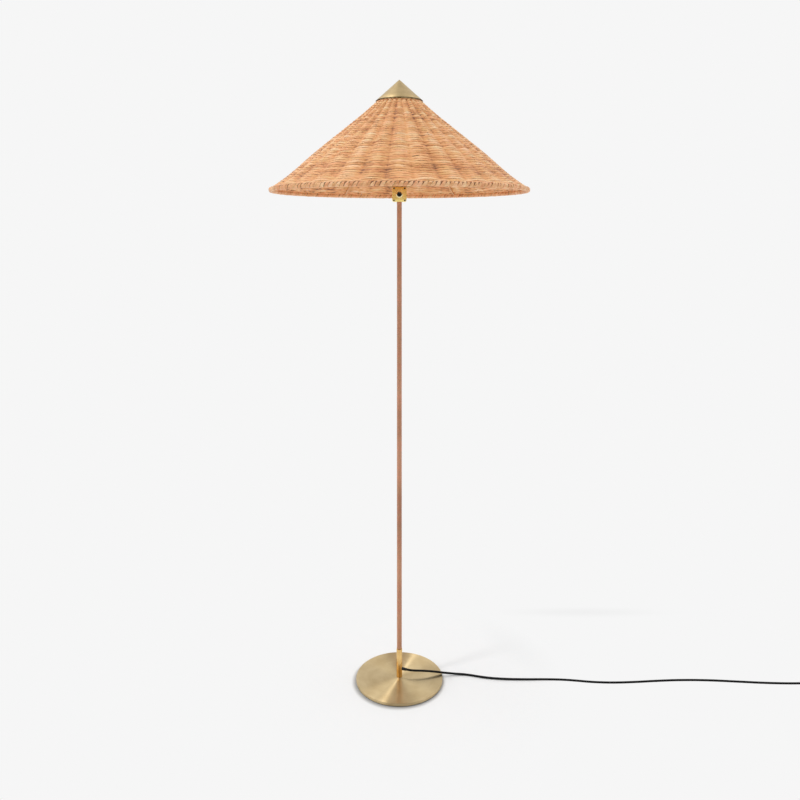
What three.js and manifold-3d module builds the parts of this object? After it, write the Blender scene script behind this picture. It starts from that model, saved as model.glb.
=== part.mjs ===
import * as THREE from "three";
import { mergeVertices } from "three/addons/utils/BufferGeometryUtils.js";
import Module from "manifold-3d";

// Floor lamp: a weighted disc, a cane-wrapped stem with a push switch on top, and a woven cane cone
// carried on a harp above the lampholder.
// Millimetres, +Z up, origin on the floor under the middle of the base, the switch facing -Y.

const wasm = await Module();
wasm.setup();

// Fits
const seatGap = 0.3; // left between pieces that touch
const overrun = 1; // how far a cut passes the face that it opens
const weldDistance = 0.0001; // vertices nearer than this are one

// Base
const padRadius = 104;
const padThickness = 1.2;
const baseRadius = 107.5;
const baseEdgeHeight = 6.5;
const baseSheet = 0.8;
const baseEdgeRound = 1.4;
const baseNutRadius = 8;
const baseNutHeight = 2.4;
const baseWasherRadius = 11;
const baseWasherThickness = 0.8;
const basePocketRim = 1.5;
const baseNippleRadius = 3.6;
const baseNippleBore = 2.4;
const baseNippleGrip = 12;

// Stem
const pipeRadius = 5;
const pipeBore = 3.9;
const footRadius = 7.1;
const footHeight = 69.7;
const footChamfer = 0.8;
const stemLength = 1115.5; // the wrapped length
const wrapRadius = 5.95;
const bindingThickness = 0.9;
const bindingWidth = 4.4;
const bindingPitch = 5;
const lowerBindingLoops = 4;
const upperBindingLoops = 6;

// Cord outlet in the foot
const outletHeight = 19.2; // above the foot tube's lower end
const outletDroopDegrees = 12;
const cordRadius = 2.5;
const reliefBore = 2.8;
const reliefNeckRadius = 3.3;
const reliefHeadRadius = 3.8;
const reliefHeadLength = 1.4;
const reliefTipRadius = 3.1;
const reliefLength = 10;
const reliefNeckLength = 3;

// Switch box, held between the stem and the lampholder
const boxWidth = 36.2;
const boxHeight = 36.4;
const boxDepth = 26;
const boxWall = 1.2;
const boxCorner = 4.2;
const boxBulge = 0.5;
const postRadius = 2.6;
const facePlateThickness = 1.4;
const screwSpacingX = 26.8;
const screwSpacingY = 30;
const screwHeadRadius = 2.1;
const screwHeadHeight = 1;
const screwShankRadius = 1.2;
const screwLength = 8;
const bezelRadius = 8;
const bezelThickness = 1.3;
const bezelCollarRadius = 6.5;
const buttonRadius = 5.15;
const buttonClearance = 0.35;
const buttonLength = 3.6;
const buttonDome = 0.9;
const buttonTravel = 2;
const buttonStemRadius = 2.2;
const buttonStemLength = 4.6;
const switchWidth = 20;
const switchHeight = 24;
const switchDepth = 9.8;
const terminalWidth = 4;
const terminalHeight = 5;
const terminalThickness = 1.1;
const terminalSpacing = 12;
const pipeNutRadius = 8;
const pipeNutHeight = 3;
const threadProud = 1; // thread left showing past a nut

// Wires
const wireRadius = 1;
const wireSpread = 2.2; // each side of the middle
const wireSetBack = 1.2; // behind the middle, clear of the switch

// Harp and its saddle
const saddleThickness = 2;
const saddleWidth = 3.2;
const saddleSpan = 50;
const saddleHeight = 9.2;
const saddleBossRadius = 10;
const harpWireRadius = 2;
const harpHalfWidth = 58;
const harpHeight = 189.7;
const harpStraight = 20;
const sleeveRadius = 3.4;
const sleeveWall = 1.1;
const sleeveLength = 14;
const studFlangeRadius = 6.5;
const studFlangeThickness = 2;
const studRadius = 3;
const studThread = 12;

// Lampholder
const holderNeckRadius = 8;
const holderNeckHeight = 4;
const holderRadius = 19.5;
const holderWall = 0.8;
const holderCapHeight = 15;
const holderDomeRise = 7;
const holderShellHeight = 35;
const holderLip = 2.6;
const insertFloor = 6;
const insertWall = 1.8;
const insertHeight = 28;
const threadShellWall = 0.5;
const threadShellHeight = 22;
const contactRadius = 2.3;
const contactProud = 1.5;

// Bulb
const bulbCapRadius = 13.2;
const bulbCapHeight = 25;
const bulbCapWall = 0.5;
const bulbCapFloor = 12;
const bulbTipRadius = 4.6;
const bulbTipHeight = 1.2;
const bulbInsulatorHeight = 3.8;
const bulbRadius = 30;
const bulbHeight = 94; // of the glass, with the neck inside the cap
const bulbNeckRadius = 12.4;
const bulbGlassWall = 1;

// Shade frame
const hubRadius = 12;
const hubThickness = 2;
const armCount = 3;
const armRadius = 1.75;
const armRise = 5.9;
const topRingWireRadius = 2;
const ribCount = 6;
const ribRadius = 1.75;
const bottomRingWireRadius = 2.5;

// Woven cone and its wrapped border
const weaveTopRadius = 54.1;
const weaveBottomRadius = 314.4;
const weaveHeight = 218.7;
const weaveThickness = 3.2;
const weaveTopMargin = 5.5; // above the top ring
const weaveStandoff = 0.8; // above the border
const fluteCount = 32;
const fluteDepth = 2;
const borderReach = 7.9; // past the weave's lower edge
const borderWidth = 10.8;
const borderHeight = 12;

// Brass cap over the opening at the top
const capRadius = 59.5;
const capHeight = 54.5;
const capSheet = 1;
const capLap = 1.5; // below the top edge of the weave
const capBossRadius = 5;
const capBossBoreMargin = 2;

// Cord laid on the floor, its coil and plug
const coilLift = 0.8; // the tie passes under the coil
const coilOuterRadius = 38.6;
const coilPitch = 5.6;
const coilLayerRise = 5.45;
const coilTurns = 6.25;
const coilClimbTurns = 0.5;
const tieThickness = 0.5;
const tieWidth = 4;
const plugRearHalfWidth = 7;
const plugHalfWidth = 14;
const plugLength = 34;
const plugEdgeRound = 3;
const plugReliefLength = 23;
const plugReliefRadius = 4.6;
const pinRadius = 2;
const pinLength = 19;
const pinSpacing = 18.6;

// Outlines, as shares of the size that they follow
const edgeRoundShares = [0, 0.5, 1];
const harpStraightShares = [0, 0.3, 0.6, 0.85, 1];
const cornerShares = [-0.5, 0.5];
const harpSideShares = [
  [0.55, 0.2],
  [0.83, 0.38],
  [1, 0.6],
  [0.86, 0.84],
  [0.48, 0.97],
];
const bulbShares = [
  [0.47, 0.2],
  [0.82, 0.42],
  [1, 0.66],
  [0.9, 0.85],
  [0.52, 0.97],
];
const weaveShares = [
  [1, 0],
  [0.838, 0.143],
  [0.61, 0.385],
  [0.392, 0.6],
  [0.158, 0.83],
  [0, 1],
];

// The cord from its outlet to the coil, over the rim of the base and along the floor
const cordRoute = [
  [31, 0.7, 22.6],
  [40, 1.8, 21.4],
  [52, 3.4, 20.1],
  [64, 5.1, 18.6],
  [76, 6.8, 16.9],
  [87, 8.4, 15],
  [97, 9.8, 13.1],
  [107, 11.2, 11],
  [117, 13, 8.9],
  [128, 15.2, 6.6],
  [139, 17, 4.6],
  [151, 18, 3.2],
  [164, 17.4, 2.6],
  [180, 14.2, 2.5],
  [200, 8.6, 2.5],
  [220, 4, 2.5],
  [244, 0.4, 2.5],
  [274, -2, 2.5],
  [320, -3.2, 2.5],
  [366, -3.2, 2.5],
  [410, -5, 2.5],
  [440, -8.6, 2.5],
  [470, -13, 2.5],
  [500, -15.6, 2.5],
  [532, -16.4, 2.5],
  [580, -14.4, 2.5],
  [640, -9.6, 2.5],
  [700, -6.4, 2.5],
  [770, -7.4, 2.5],
  [840, -12.6, 2.5],
  [900, -17.4, 2.5],
  [950, -19.6, 2.5],
  [990, -20, 2.7],
  [1020, -20, 3.2],
];
const coilStart = [1068, -20];
const coilApproach = 10; // the cord's last straight stretch

// Facets
const tinySides = 8;
const smallSides = 14;
const middleSides = 20;
const discSides = 44;
const ringSides = 60; // a multiple of the ribs, which then meet its corners
const sealedWireSides = 4;
const wireSides = 6;
const cordSides = 8;
const cordSteps = 70;
const harpSteps = 30;
const borderLipSteps = 6;
const borderChannelSteps = 5;
const stepsPerBindingLoop = 16;
const stepsPerCoilLoop = 24;
const fluteSteps = 4;

// Finishes
const agedBrass = { color: "#c0a478", roughness: 0.38, metalness: 0.9 };
const paleBrass = { color: "#c4b080", roughness: 0.42, metalness: 0.9 };
const brightBrass = { color: "#dcb368", roughness: 0.22, metalness: 0.95 };
const steel = { color: "#9a9c9e", roughness: 0.4, metalness: 0.9 };
const castIron = { color: "#4b4a48", roughness: 0.8, metalness: 0.6 };
const felt = { color: "#3a3632", roughness: 0.95, metalness: 0 };
const stemCane = { color: "#a07a68", roughness: 0.7, metalness: 0 };
const shadeCane = { color: "#dfae80", roughness: 0.75, metalness: 0 };
const borderCane = { color: "#e9b78a", roughness: 0.7, metalness: 0 };
const blackPlastic = { color: "#1d1b1a", roughness: 0.45, metalness: 0 };
const blackCord = { color: "#161514", roughness: 0.55, metalness: 0 };
const blackSteel = { color: "#2a2624", roughness: 0.4, metalness: 0.8 };
const porcelain = { color: "#ece8df", roughness: 0.3, metalness: 0 };
const opalGlass = { color: "#f4f1ea", roughness: 0.35, metalness: 0 };
const brownWire = { color: "#6b4a32", roughness: 0.5, metalness: 0 };
const blueWire = { color: "#35567c", roughness: 0.5, metalness: 0 };
const wireFrame = { color: "#b9a184", roughness: 0.6, metalness: 0.4 };

// The cord outlet, along its drooping axis
const droopAngle = THREE.MathUtils.degToRad(outletDroopDegrees);
const reliefStart = footRadius / Math.cos(droopAngle) + seatGap + reliefHeadRadius * Math.tan(droopAngle);
const reliefEnd = reliefStart + reliefLength;

// Heights of what stands on what
const footBottom = padThickness + seatGap + baseEdgeHeight + seatGap;
const wrapBottom = footBottom + footHeight + seatGap;
const boxBottom = wrapBottom + stemLength + seatGap;
const boxCentre = boxBottom + boxHeight / 2;
const boxTop = boxBottom + boxHeight;
const saddleBottom = boxTop + seatGap;
const holderBottom = saddleBottom + saddleThickness + seatGap;
const insertBottom = holderBottom + holderCapHeight + seatGap;
const bulbBottom = insertBottom + insertFloor + contactProud + seatGap;
const harpBottom = saddleBottom + saddleHeight + seatGap;
const harpTop = harpBottom + harpHeight;
const studBottom = harpTop + harpWireRadius + seatGap;
const hubBottom = studBottom + studFlangeThickness + seatGap;
const topRingHeight = hubBottom + hubThickness / 2 + armRise;
const weaveTop = topRingHeight + weaveTopMargin;
const weaveBottom = weaveTop - weaveHeight;
const borderCentre = weaveBottom - weaveStandoff - borderHeight / 2;
const capRim = weaveTop - capLap;

function vector([x, y, z]) {
  return new THREE.Vector3(x, y, z);
}

function piece(name, geometry, finish) {
  const mesh = new THREE.Mesh(geometry, new THREE.MeshStandardMaterial(finish));
  mesh.name = name;
  return mesh;
}

function assembly(height, ...members) {
  const group = new THREE.Group();
  group.position.z = height;
  group.add(...members);
  return group;
}

// A profile of [radius, height] points turned about +Z. One that leaves the axis runs back to its start.
function revolve(profile, sides) {
  const onAxis = profile.at(0)[0] === 0 && profile.at(-1)[0] === 0;
  const outline = onAxis ? profile : [...profile, profile[0]];
  const points = outline.map(([radius, height]) => new THREE.Vector2(radius, height));
  if (THREE.ShapeUtils.area(points) < 0) points.reverse();
  return new THREE.LatheGeometry(points, sides).rotateX(Math.PI / 2);
}

function rod(radius, length, sides) {
  return revolve([[0, 0], [radius, 0], [radius, length], [0, length]], sides);
}

function pipe(radius, bore, length, sides) {
  return revolve([[bore, 0], [radius, 0], [radius, length], [bore, length]], sides);
}

// Points of a regular section, round with many sides and a hexagon with six.
function roundSection(radius, sides) {
  return Array.from({ length: sides }, (_, i) => {
    const turn = (i / sides) * 2 * Math.PI;
    return new THREE.Vector2(radius * Math.cos(turn), radius * Math.sin(turn));
  });
}

function extrude(outline, depth, curveSegments = 3) {
  const shape = outline instanceof THREE.Shape ? outline : new THREE.Shape(outline);
  return new THREE.ExtrudeGeometry(shape, { depth, curveSegments, bevelEnabled: false });
}

function wire(curve, radius, steps, sides) {
  const shape = new THREE.Shape(roundSection(radius, sides));
  return new THREE.ExtrudeGeometry(shape, { steps, bevelEnabled: false, extrudePath: curve });
}

function solidOf(geometry) {
  const bare = new THREE.BufferGeometry().setAttribute("position", geometry.getAttribute("position"));
  bare.setIndex(geometry.index);
  const welded = mergeVertices(bare, weldDistance);
  const corners = Array.from(welded.index.array);
  const kept = [];
  for (let i = 0; i < corners.length; i += 3) {
    const [a, b, c] = corners.slice(i, i + 3);
    if (a !== b && b !== c && c !== a) kept.push(a, b, c);
  }
  const vertProperties = welded.attributes.position.array;
  return new wasm.Manifold(
    new wasm.Mesh({ numProp: 3, vertProperties, triVerts: new Uint32Array(kept) }),
  );
}

function geometryOf(solid) {
  const { vertProperties, triVerts } = solid.getMesh();
  const geometry = new THREE.BufferGeometry();
  geometry.setAttribute("position", new THREE.BufferAttribute(vertProperties, 3));
  geometry.setIndex(new THREE.BufferAttribute(triVerts, 1));
  const faceted = geometry.toNonIndexed();
  faceted.computeVertexNormals();
  return faceted;
}

function cut(body, ...tools) {
  return geometryOf(tools.reduce((kept, tool) => kept.subtract(solidOf(tool)), solidOf(body)));
}

function join(...bodies) {
  return geometryOf(bodies.map(solidOf).reduce((whole, body) => whole.add(body)));
}

// One closed tube of a convex section, carried along path; outwardAt gives the section's second axis.
function sweep(path, section, outwardAt) {
  const last = path.length - 1;
  const rings = path.map((point, i) => {
    const ahead = path[Math.min(i + 1, last)];
    const behind = path[Math.max(i - 1, 0)];
    const along = ahead.clone().sub(behind).normalize();
    const side = along.clone().cross(outwardAt(point)).normalize();
    const outward = side.clone().cross(along);
    return section.map(({ x, y }) => point.clone().addScaledVector(side, x).addScaledVector(outward, y));
  });
  const positions = [];
  const face = (...corners) => corners.forEach((corner) => positions.push(...corner.toArray()));
  section.forEach((_, j) => {
    const k = (j + 1) % section.length;
    for (let i = 0; i < last; i += 1) {
      face(rings[i][j], rings[i + 1][k], rings[i][k]);
      face(rings[i][j], rings[i + 1][j], rings[i + 1][k]);
    }
  });
  for (let j = 1; j < section.length - 1; j += 1) {
    face(rings[0][0], rings[0][j], rings[0][j + 1]);
    face(rings[last][0], rings[last][j + 1], rings[last][j]);
  }
  const tube = new THREE.BufferGeometry();
  tube.setAttribute("position", new THREE.Float32BufferAttribute(positions, 3));
  tube.computeVertexNormals();
  return tube;
}

// Least distance between points of a winding that lie half a loop or more apart, less its thickness.
function leastGap(path, thickness, stepsPerLoop) {
  const apart = stepsPerLoop / 2;
  const gaps = path.flatMap((point, i) => path.slice(i + apart).map((other) => point.distanceTo(other)));
  return Math.min(...gaps) - thickness;
}

// An open [radius, height] outline moved sideways by a distance, with mitred corners.
function offsetOutline(outline, distance) {
  const normals = outline.slice(1).map(([r, h], i) => {
    const [r0, h0] = outline[i];
    const length = Math.hypot(r - r0, h - h0);
    return [-(h - h0) / length, (r - r0) / length];
  });
  return outline.map(([r, h], i) => {
    const [ax, ay] = normals[Math.max(i - 1, 0)];
    const [bx, by] = normals[Math.min(i, normals.length - 1)];
    const scale = distance / (1 + ax * bx + ay * by);
    return [r + (ax + bx) * scale, h + (ay + by) * scale];
  });
}

function hexNut(radius, bore, height) {
  return cut(extrude(roundSection(radius, 6), height), throughHole(bore, height));
}

function throughHole(radius, thickness, sides = smallSides) {
  return rod(radius, thickness + 2 * overrun, sides).translate(0, 0, -overrun);
}

function makeBase() {
  const coverInside = baseRadius - baseSheet;
  const weightHeight = baseEdgeHeight - baseSheet - seatGap;
  const weightRadius = coverInside - seatGap;
  const holeRadius = baseNippleRadius + seatGap;
  const pocketRadius = baseWasherRadius + basePocketRim;
  const pocketHeight = baseNutHeight + baseWasherThickness + 2 * seatGap;
  const nutBottom = seatGap;
  const washerBottom = nutBottom + baseNutHeight - seatGap / 2;
  const roundTop = edgeRoundShares.map((share) => {
    const turn = (share * Math.PI) / 2;
    return [
      baseRadius - baseEdgeRound * (1 - Math.cos(turn)),
      baseEdgeHeight - baseEdgeRound * (1 - Math.sin(turn)),
    ];
  });
  const cover = [
    [coverInside, 0],
    [baseRadius, 0],
    ...roundTop,
    [holeRadius, baseEdgeHeight],
    [holeRadius, baseEdgeHeight - baseSheet],
    [coverInside, baseEdgeHeight - baseSheet],
  ];
  const weight = [
    [pocketRadius, 0],
    [weightRadius, 0],
    [weightRadius, weightHeight - seatGap],
    [holeRadius, weightHeight - seatGap],
    [holeRadius, pocketHeight],
    [pocketRadius, pocketHeight],
  ];
  const nippleLength = footBottom - padThickness + baseNippleGrip;
  return [
    assembly(0, piece("base_pad", rod(padRadius, padThickness, discSides), felt)),
    assembly(
      padThickness + seatGap,
      piece("base_cover", revolve(cover, discSides), agedBrass),
      piece("base_weight", revolve(weight, discSides), castIron),
    ),
    assembly(
      padThickness + nutBottom,
      piece("base_nut", hexNut(baseNutRadius, baseNippleRadius + seatGap, baseNutHeight), steel),
      piece("base_nipple", pipe(baseNippleRadius, baseNippleBore, nippleLength, smallSides), steel),
    ),
    assembly(
      padThickness + washerBottom + seatGap,
      piece("base_washer", pipe(baseWasherRadius, holeRadius, baseWasherThickness, smallSides), steel),
    ),
  ];
}

// Puts a geometry drawn outwards along +Z on the outlet's drooping axis, at a distance from the stem's middle.
function alongOutlet(geometry, distance) {
  return geometry.translate(0, 0, distance).rotateY(Math.PI / 2 + droopAngle);
}

function outletPoint(distance) {
  const outlet = footBottom + outletHeight + footRadius * Math.tan(droopAngle);
  return [distance * Math.cos(droopAngle), 0, outlet - distance * Math.sin(droopAngle)];
}

function outletHole() {
  return alongOutlet(rod(reliefNeckRadius + seatGap, 2 * footRadius, smallSides), 0);
}

function makeStem() {
  const outletZ = outletPoint(0)[2];
  const pipeTop = boxBottom + boxWall + seatGap + pipeNutHeight + threadProud;
  const sleeveBore = pipeRadius + seatGap;
  const footTube = [
    [sleeveBore, 0],
    [footRadius, 0],
    [footRadius, footHeight - footChamfer],
    [footRadius - footChamfer, footHeight],
    [sleeveBore, footHeight],
  ];
  const lowerEnd = wrapBottom + lowerBindingLoops * bindingPitch + bindingWidth + seatGap;
  const upperStart = boxBottom - seatGap - upperBindingLoops * bindingPitch - bindingWidth;
  const wrapLength = upperStart - seatGap - lowerEnd;
  return [
    assembly(
      footBottom,
      piece(
        "foot_tube",
        cut(revolve(footTube, middleSides), outletHole().translate(0, 0, outletZ - footBottom)),
        brightBrass,
      ),
      piece(
        "stem_pipe",
        cut(
          pipe(pipeRadius, pipeBore, pipeTop - footBottom, smallSides),
          outletHole().translate(0, 0, outletZ - footBottom),
        ),
        steel,
      ),
    ),
    assembly(wrapBottom, piece("lower_binding", binding(lowerBindingLoops), stemCane)),
    assembly(lowerEnd, piece("stem_wrap", pipe(wrapRadius, sleeveBore, wrapLength, smallSides), stemCane)),
    assembly(upperStart, piece("upper_binding", binding(upperBindingLoops), stemCane)),
  ];
}

// Flat cane wound round the pipe, standing on its lower edge.
function binding(loops) {
  const inner = pipeRadius + seatGap;
  const middle = inner + bindingThickness / 2;
  const steps = loops * stepsPerBindingLoop;
  const path = Array.from({ length: steps + 1 }, (_, i) => {
    const turn = (i / stepsPerBindingLoop) * 2 * Math.PI;
    const height = bindingWidth / 2 + (i / stepsPerBindingLoop) * bindingPitch;
    return vector([middle * Math.cos(turn), middle * Math.sin(turn), height]);
  });
  const halfWidth = bindingWidth / 2;
  const halfThickness = bindingThickness / 2;
  const strip = [
    new THREE.Vector2(-halfWidth, -halfThickness),
    new THREE.Vector2(halfWidth, -halfThickness),
    new THREE.Vector2(halfWidth, halfThickness),
    new THREE.Vector2(-halfWidth, halfThickness),
  ];
  const gap = leastGap(path, bindingWidth, stepsPerBindingLoop);
  console.log(`binding of ${loops} loops: least gap ${gap.toFixed(2)} mm`);
  return sweep(path, strip, ({ x, y }) => new THREE.Vector3(x, y, 0));
}

function makeOutlet() {
  const relief = [
    [reliefBore, -reliefNeckLength],
    [reliefNeckRadius, -reliefNeckLength],
    [reliefNeckRadius, 0],
    [reliefHeadRadius, 0],
    [reliefHeadRadius, reliefHeadLength],
    [reliefTipRadius, reliefLength],
    [reliefBore, reliefLength],
  ];
  return assembly(
    outletPoint(0)[2],
    piece("cord_relief", alongOutlet(revolve(relief, smallSides), reliefStart), blackPlastic),
    piece("cord_tail", alongOutlet(rod(cordRadius, reliefEnd, tinySides), 0), blackCord),
  );
}

// A rounded square whose sides swell a little.
function softSquare(width, height, corner) {
  const x = width / 2 - boxBulge;
  const y = height / 2 - boxBulge;
  const swell = 2 * boxBulge;
  const shape = new THREE.Shape();
  shape.moveTo(corner - x, -y);
  shape.quadraticCurveTo(0, -y - swell, x - corner, -y);
  shape.quadraticCurveTo(x, -y, x, corner - y);
  shape.quadraticCurveTo(x + swell, 0, x, y - corner);
  shape.quadraticCurveTo(x, y, x - corner, y);
  shape.quadraticCurveTo(0, y + swell, corner - x, y);
  shape.quadraticCurveTo(-x, y, -x, y - corner);
  shape.quadraticCurveTo(-x - swell, 0, -x, corner - y);
  shape.quadraticCurveTo(-x, -y, corner - x, -y);
  return shape;
}

const screwPlaces = cornerShares.flatMap((xShare) =>
  cornerShares.map((yShare) => [xShare * screwSpacingX, yShare * screwSpacingY]),
);

// The box is drawn facing +Z, its height along +Y, about its middle.
function makeSwitchBox() {
  const front = boxDepth / 2;
  const plateBack = front - facePlateThickness;
  const shellDepth = boxDepth - facePlateThickness - seatGap;
  const cavityDepth = shellDepth - boxWall + overrun;
  const threadHole = rod(pipeRadius + seatGap, boxHeight + 2 * overrun, smallSides)
    .rotateX(-Math.PI / 2)
    .translate(0, -boxHeight / 2 - overrun, 0);
  const shell = cut(
    extrude(softSquare(boxWidth, boxHeight, boxCorner), shellDepth).translate(0, 0, -front),
    extrude(softSquare(boxWidth - 2 * boxWall, boxHeight - 2 * boxWall, boxCorner), cavityDepth)
      .translate(0, 0, boxWall - front),
    threadHole,
  );
  const post = rod(postRadius, shellDepth - boxWall / 2, tinySides);
  const posts = screwPlaces.map(([x, y]) => post.clone().translate(x, y, boxWall / 2 - front));
  const screwBore = rod(screwShankRadius + seatGap, screwLength + 2 * overrun, tinySides);
  const boreBottom = front - screwLength - overrun;
  const screwBores = screwPlaces.map(([x, y]) => screwBore.clone().translate(x, y, boreBottom));
  const plateHole = throughHole(bezelCollarRadius + seatGap, facePlateThickness).translate(0, 0, plateBack);
  const bodyFront = plateBack - seatGap;
  const stemBore = rod(buttonStemRadius + seatGap, buttonStemLength + 2 * overrun, smallSides);
  const stemBoreBottom = bodyFront - buttonStemLength - overrun;
  const switchBody = new THREE.BoxGeometry(switchWidth, switchHeight, switchDepth);
  const boxFront = new THREE.Group();
  boxFront.rotation.x = Math.PI / 2;
  boxFront.add(
    piece("switch_housing", cut(join(shell, ...posts), ...screwBores), brightBrass),
    piece(
      "switch_faceplate",
      cut(
        extrude(softSquare(boxWidth, boxHeight, boxCorner), facePlateThickness).translate(0, 0, plateBack),
        plateHole,
        ...screwBores,
      ),
      brightBrass,
    ),
    ...screwPlaces.map(([x, y], i) =>
      piece(`faceplate_screw_${i + 1}`, screw().translate(x, y, front + seatGap), blackSteel),
    ),
    piece("switch_bezel", bezel().translate(0, 0, front + seatGap), brightBrass),
    piece(
      "switch_body",
      cut(
        switchBody.translate(0, 0, bodyFront - switchDepth / 2),
        stemBore.translate(0, 0, stemBoreBottom),
      ),
      blackPlastic,
    ),
    piece("switch_button", button().translate(0, 0, bodyFront + seatGap + buttonTravel), blackPlastic),
    piece("live_terminal", terminal(-0.5, bodyFront - switchDepth - seatGap), brightBrass),
    piece("switched_terminal", terminal(0.5, bodyFront - switchDepth - seatGap), brightBrass),
  );
  const nut = hexNut(pipeNutRadius, pipeRadius + seatGap, pipeNutHeight);
  return [
    assembly(boxCentre, boxFront),
    assembly(boxBottom + boxWall + seatGap, piece("stem_nut", nut, steel)),
    assembly(boxTop - boxWall - seatGap - pipeNutHeight, piece("holder_nut", nut.clone(), steel)),
  ];
}

function screw() {
  const edge = screwHeadHeight / 2;
  return revolve(
    [
      [0, -screwLength],
      [screwShankRadius, -screwLength],
      [screwShankRadius, 0],
      [screwHeadRadius, 0],
      [screwHeadRadius, edge],
      [screwHeadRadius - edge, screwHeadHeight],
      [0, screwHeadHeight],
    ],
    tinySides,
  );
}

function bezel() {
  const bore = buttonRadius + buttonClearance;
  const edge = bezelThickness / 2;
  return revolve(
    [
      [bore, -facePlateThickness],
      [bezelCollarRadius, -facePlateThickness],
      [bezelCollarRadius, 0],
      [bezelRadius, 0],
      [bezelRadius, edge],
      [bezelRadius - edge, bezelThickness],
      [bore, bezelThickness],
    ],
    middleSides,
  );
}

function button() {
  return revolve(
    [
      [0, -buttonStemLength],
      [buttonStemRadius, -buttonStemLength],
      [buttonStemRadius, 0],
      [buttonRadius, 0],
      [buttonRadius, buttonLength - buttonDome],
      [buttonRadius - buttonDome, buttonLength - buttonDome / 4],
      [0, buttonLength],
    ],
    middleSides,
  );
}

// A tab behind the switch body, in front of its wire.
function terminal(heightShare, front) {
  const tab = new THREE.BoxGeometry(terminalWidth, terminalHeight, terminalThickness);
  return tab.translate(wireSpread, heightShare * terminalSpacing, front - terminalThickness / 2);
}

function straightWire(x, from, to) {
  return rod(wireRadius, to - from, wireSides).translate(x, wireSetBack, from);
}

function makeWires() {
  const start = outletPoint(0)[2] + cordRadius / Math.cos(droopAngle) + seatGap;
  const end = insertBottom - seatGap;
  const reach = terminalHeight / 2;
  const lowTab = boxCentre - terminalSpacing / 2;
  const highTab = boxCentre + terminalSpacing / 2;
  return [
    piece("neutral_wire", straightWire(-wireSpread, start, end), blueWire),
    piece("live_wire", straightWire(wireSpread, start, lowTab + reach), brownWire),
    piece("switched_wire", straightWire(wireSpread, highTab - reach, end), brownWire),
  ];
}

function makeHarp() {
  const halfSpan = saddleSpan / 2;
  const inside = halfSpan - saddleThickness / 2;
  const outside = halfSpan + saddleThickness / 2;
  const strap = new THREE.Shape([
    new THREE.Vector2(-outside, 0),
    new THREE.Vector2(outside, 0),
    new THREE.Vector2(outside, saddleHeight),
    new THREE.Vector2(inside, saddleHeight),
    new THREE.Vector2(inside, saddleThickness),
    new THREE.Vector2(-inside, saddleThickness),
    new THREE.Vector2(-inside, saddleHeight),
    new THREE.Vector2(-outside, saddleHeight),
  ]);
  const saddle = cut(
    join(
      extrude(strap, saddleWidth).rotateX(Math.PI / 2).translate(0, saddleWidth / 2, 0),
      rod(saddleBossRadius, saddleThickness, smallSides),
    ),
    throughHole(pipeRadius + seatGap, saddleThickness),
  );
  const sleeve = pipe(sleeveRadius, sleeveRadius - sleeveWall, sleeveLength, smallSides);
  const sleeveBottom = saddleBottom + saddleThickness + seatGap;
  const stud = [
    [0, 0],
    [studFlangeRadius, 0],
    [studFlangeRadius, studFlangeThickness],
    [studRadius, studFlangeThickness],
    [studRadius, studFlangeThickness + hubThickness + 2 * seatGap + studThread],
    [0, studFlangeThickness + hubThickness + 2 * seatGap + studThread],
  ];
  return [
    assembly(saddleBottom, piece("harp_saddle", saddle, agedBrass)),
    assembly(
      sleeveBottom,
      piece("left_sleeve", sleeve.clone().translate(-halfSpan, 0, 0), agedBrass),
      piece("right_sleeve", sleeve.clone().translate(halfSpan, 0, 0), agedBrass),
    ),
    assembly(harpBottom, piece("harp", wire(harpCurve(halfSpan), harpWireRadius, harpSteps, wireSides), agedBrass)),
    assembly(studBottom, piece("harp_stud", revolve(stud, smallSides), agedBrass)),
  ];
}

// Straight up through the sleeves, out round the bulb and in to the stud.
function harpCurve(halfSpan) {
  const straight = harpStraightShares.map((share) => [halfSpan, share * harpStraight]);
  const side = harpSideShares.map(([widthShare, heightShare]) => [
    widthShare * harpHalfWidth,
    heightShare * harpHeight,
  ]);
  const right = [...straight, ...side];
  const left = right.toReversed().map(([x, z]) => [-x, z]);
  const points = [...right, [0, harpHeight], ...left].map(([x, z]) => vector([x, 0, z]));
  return new THREE.CatmullRomCurve3(points, false, "centripetal");
}

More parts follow.
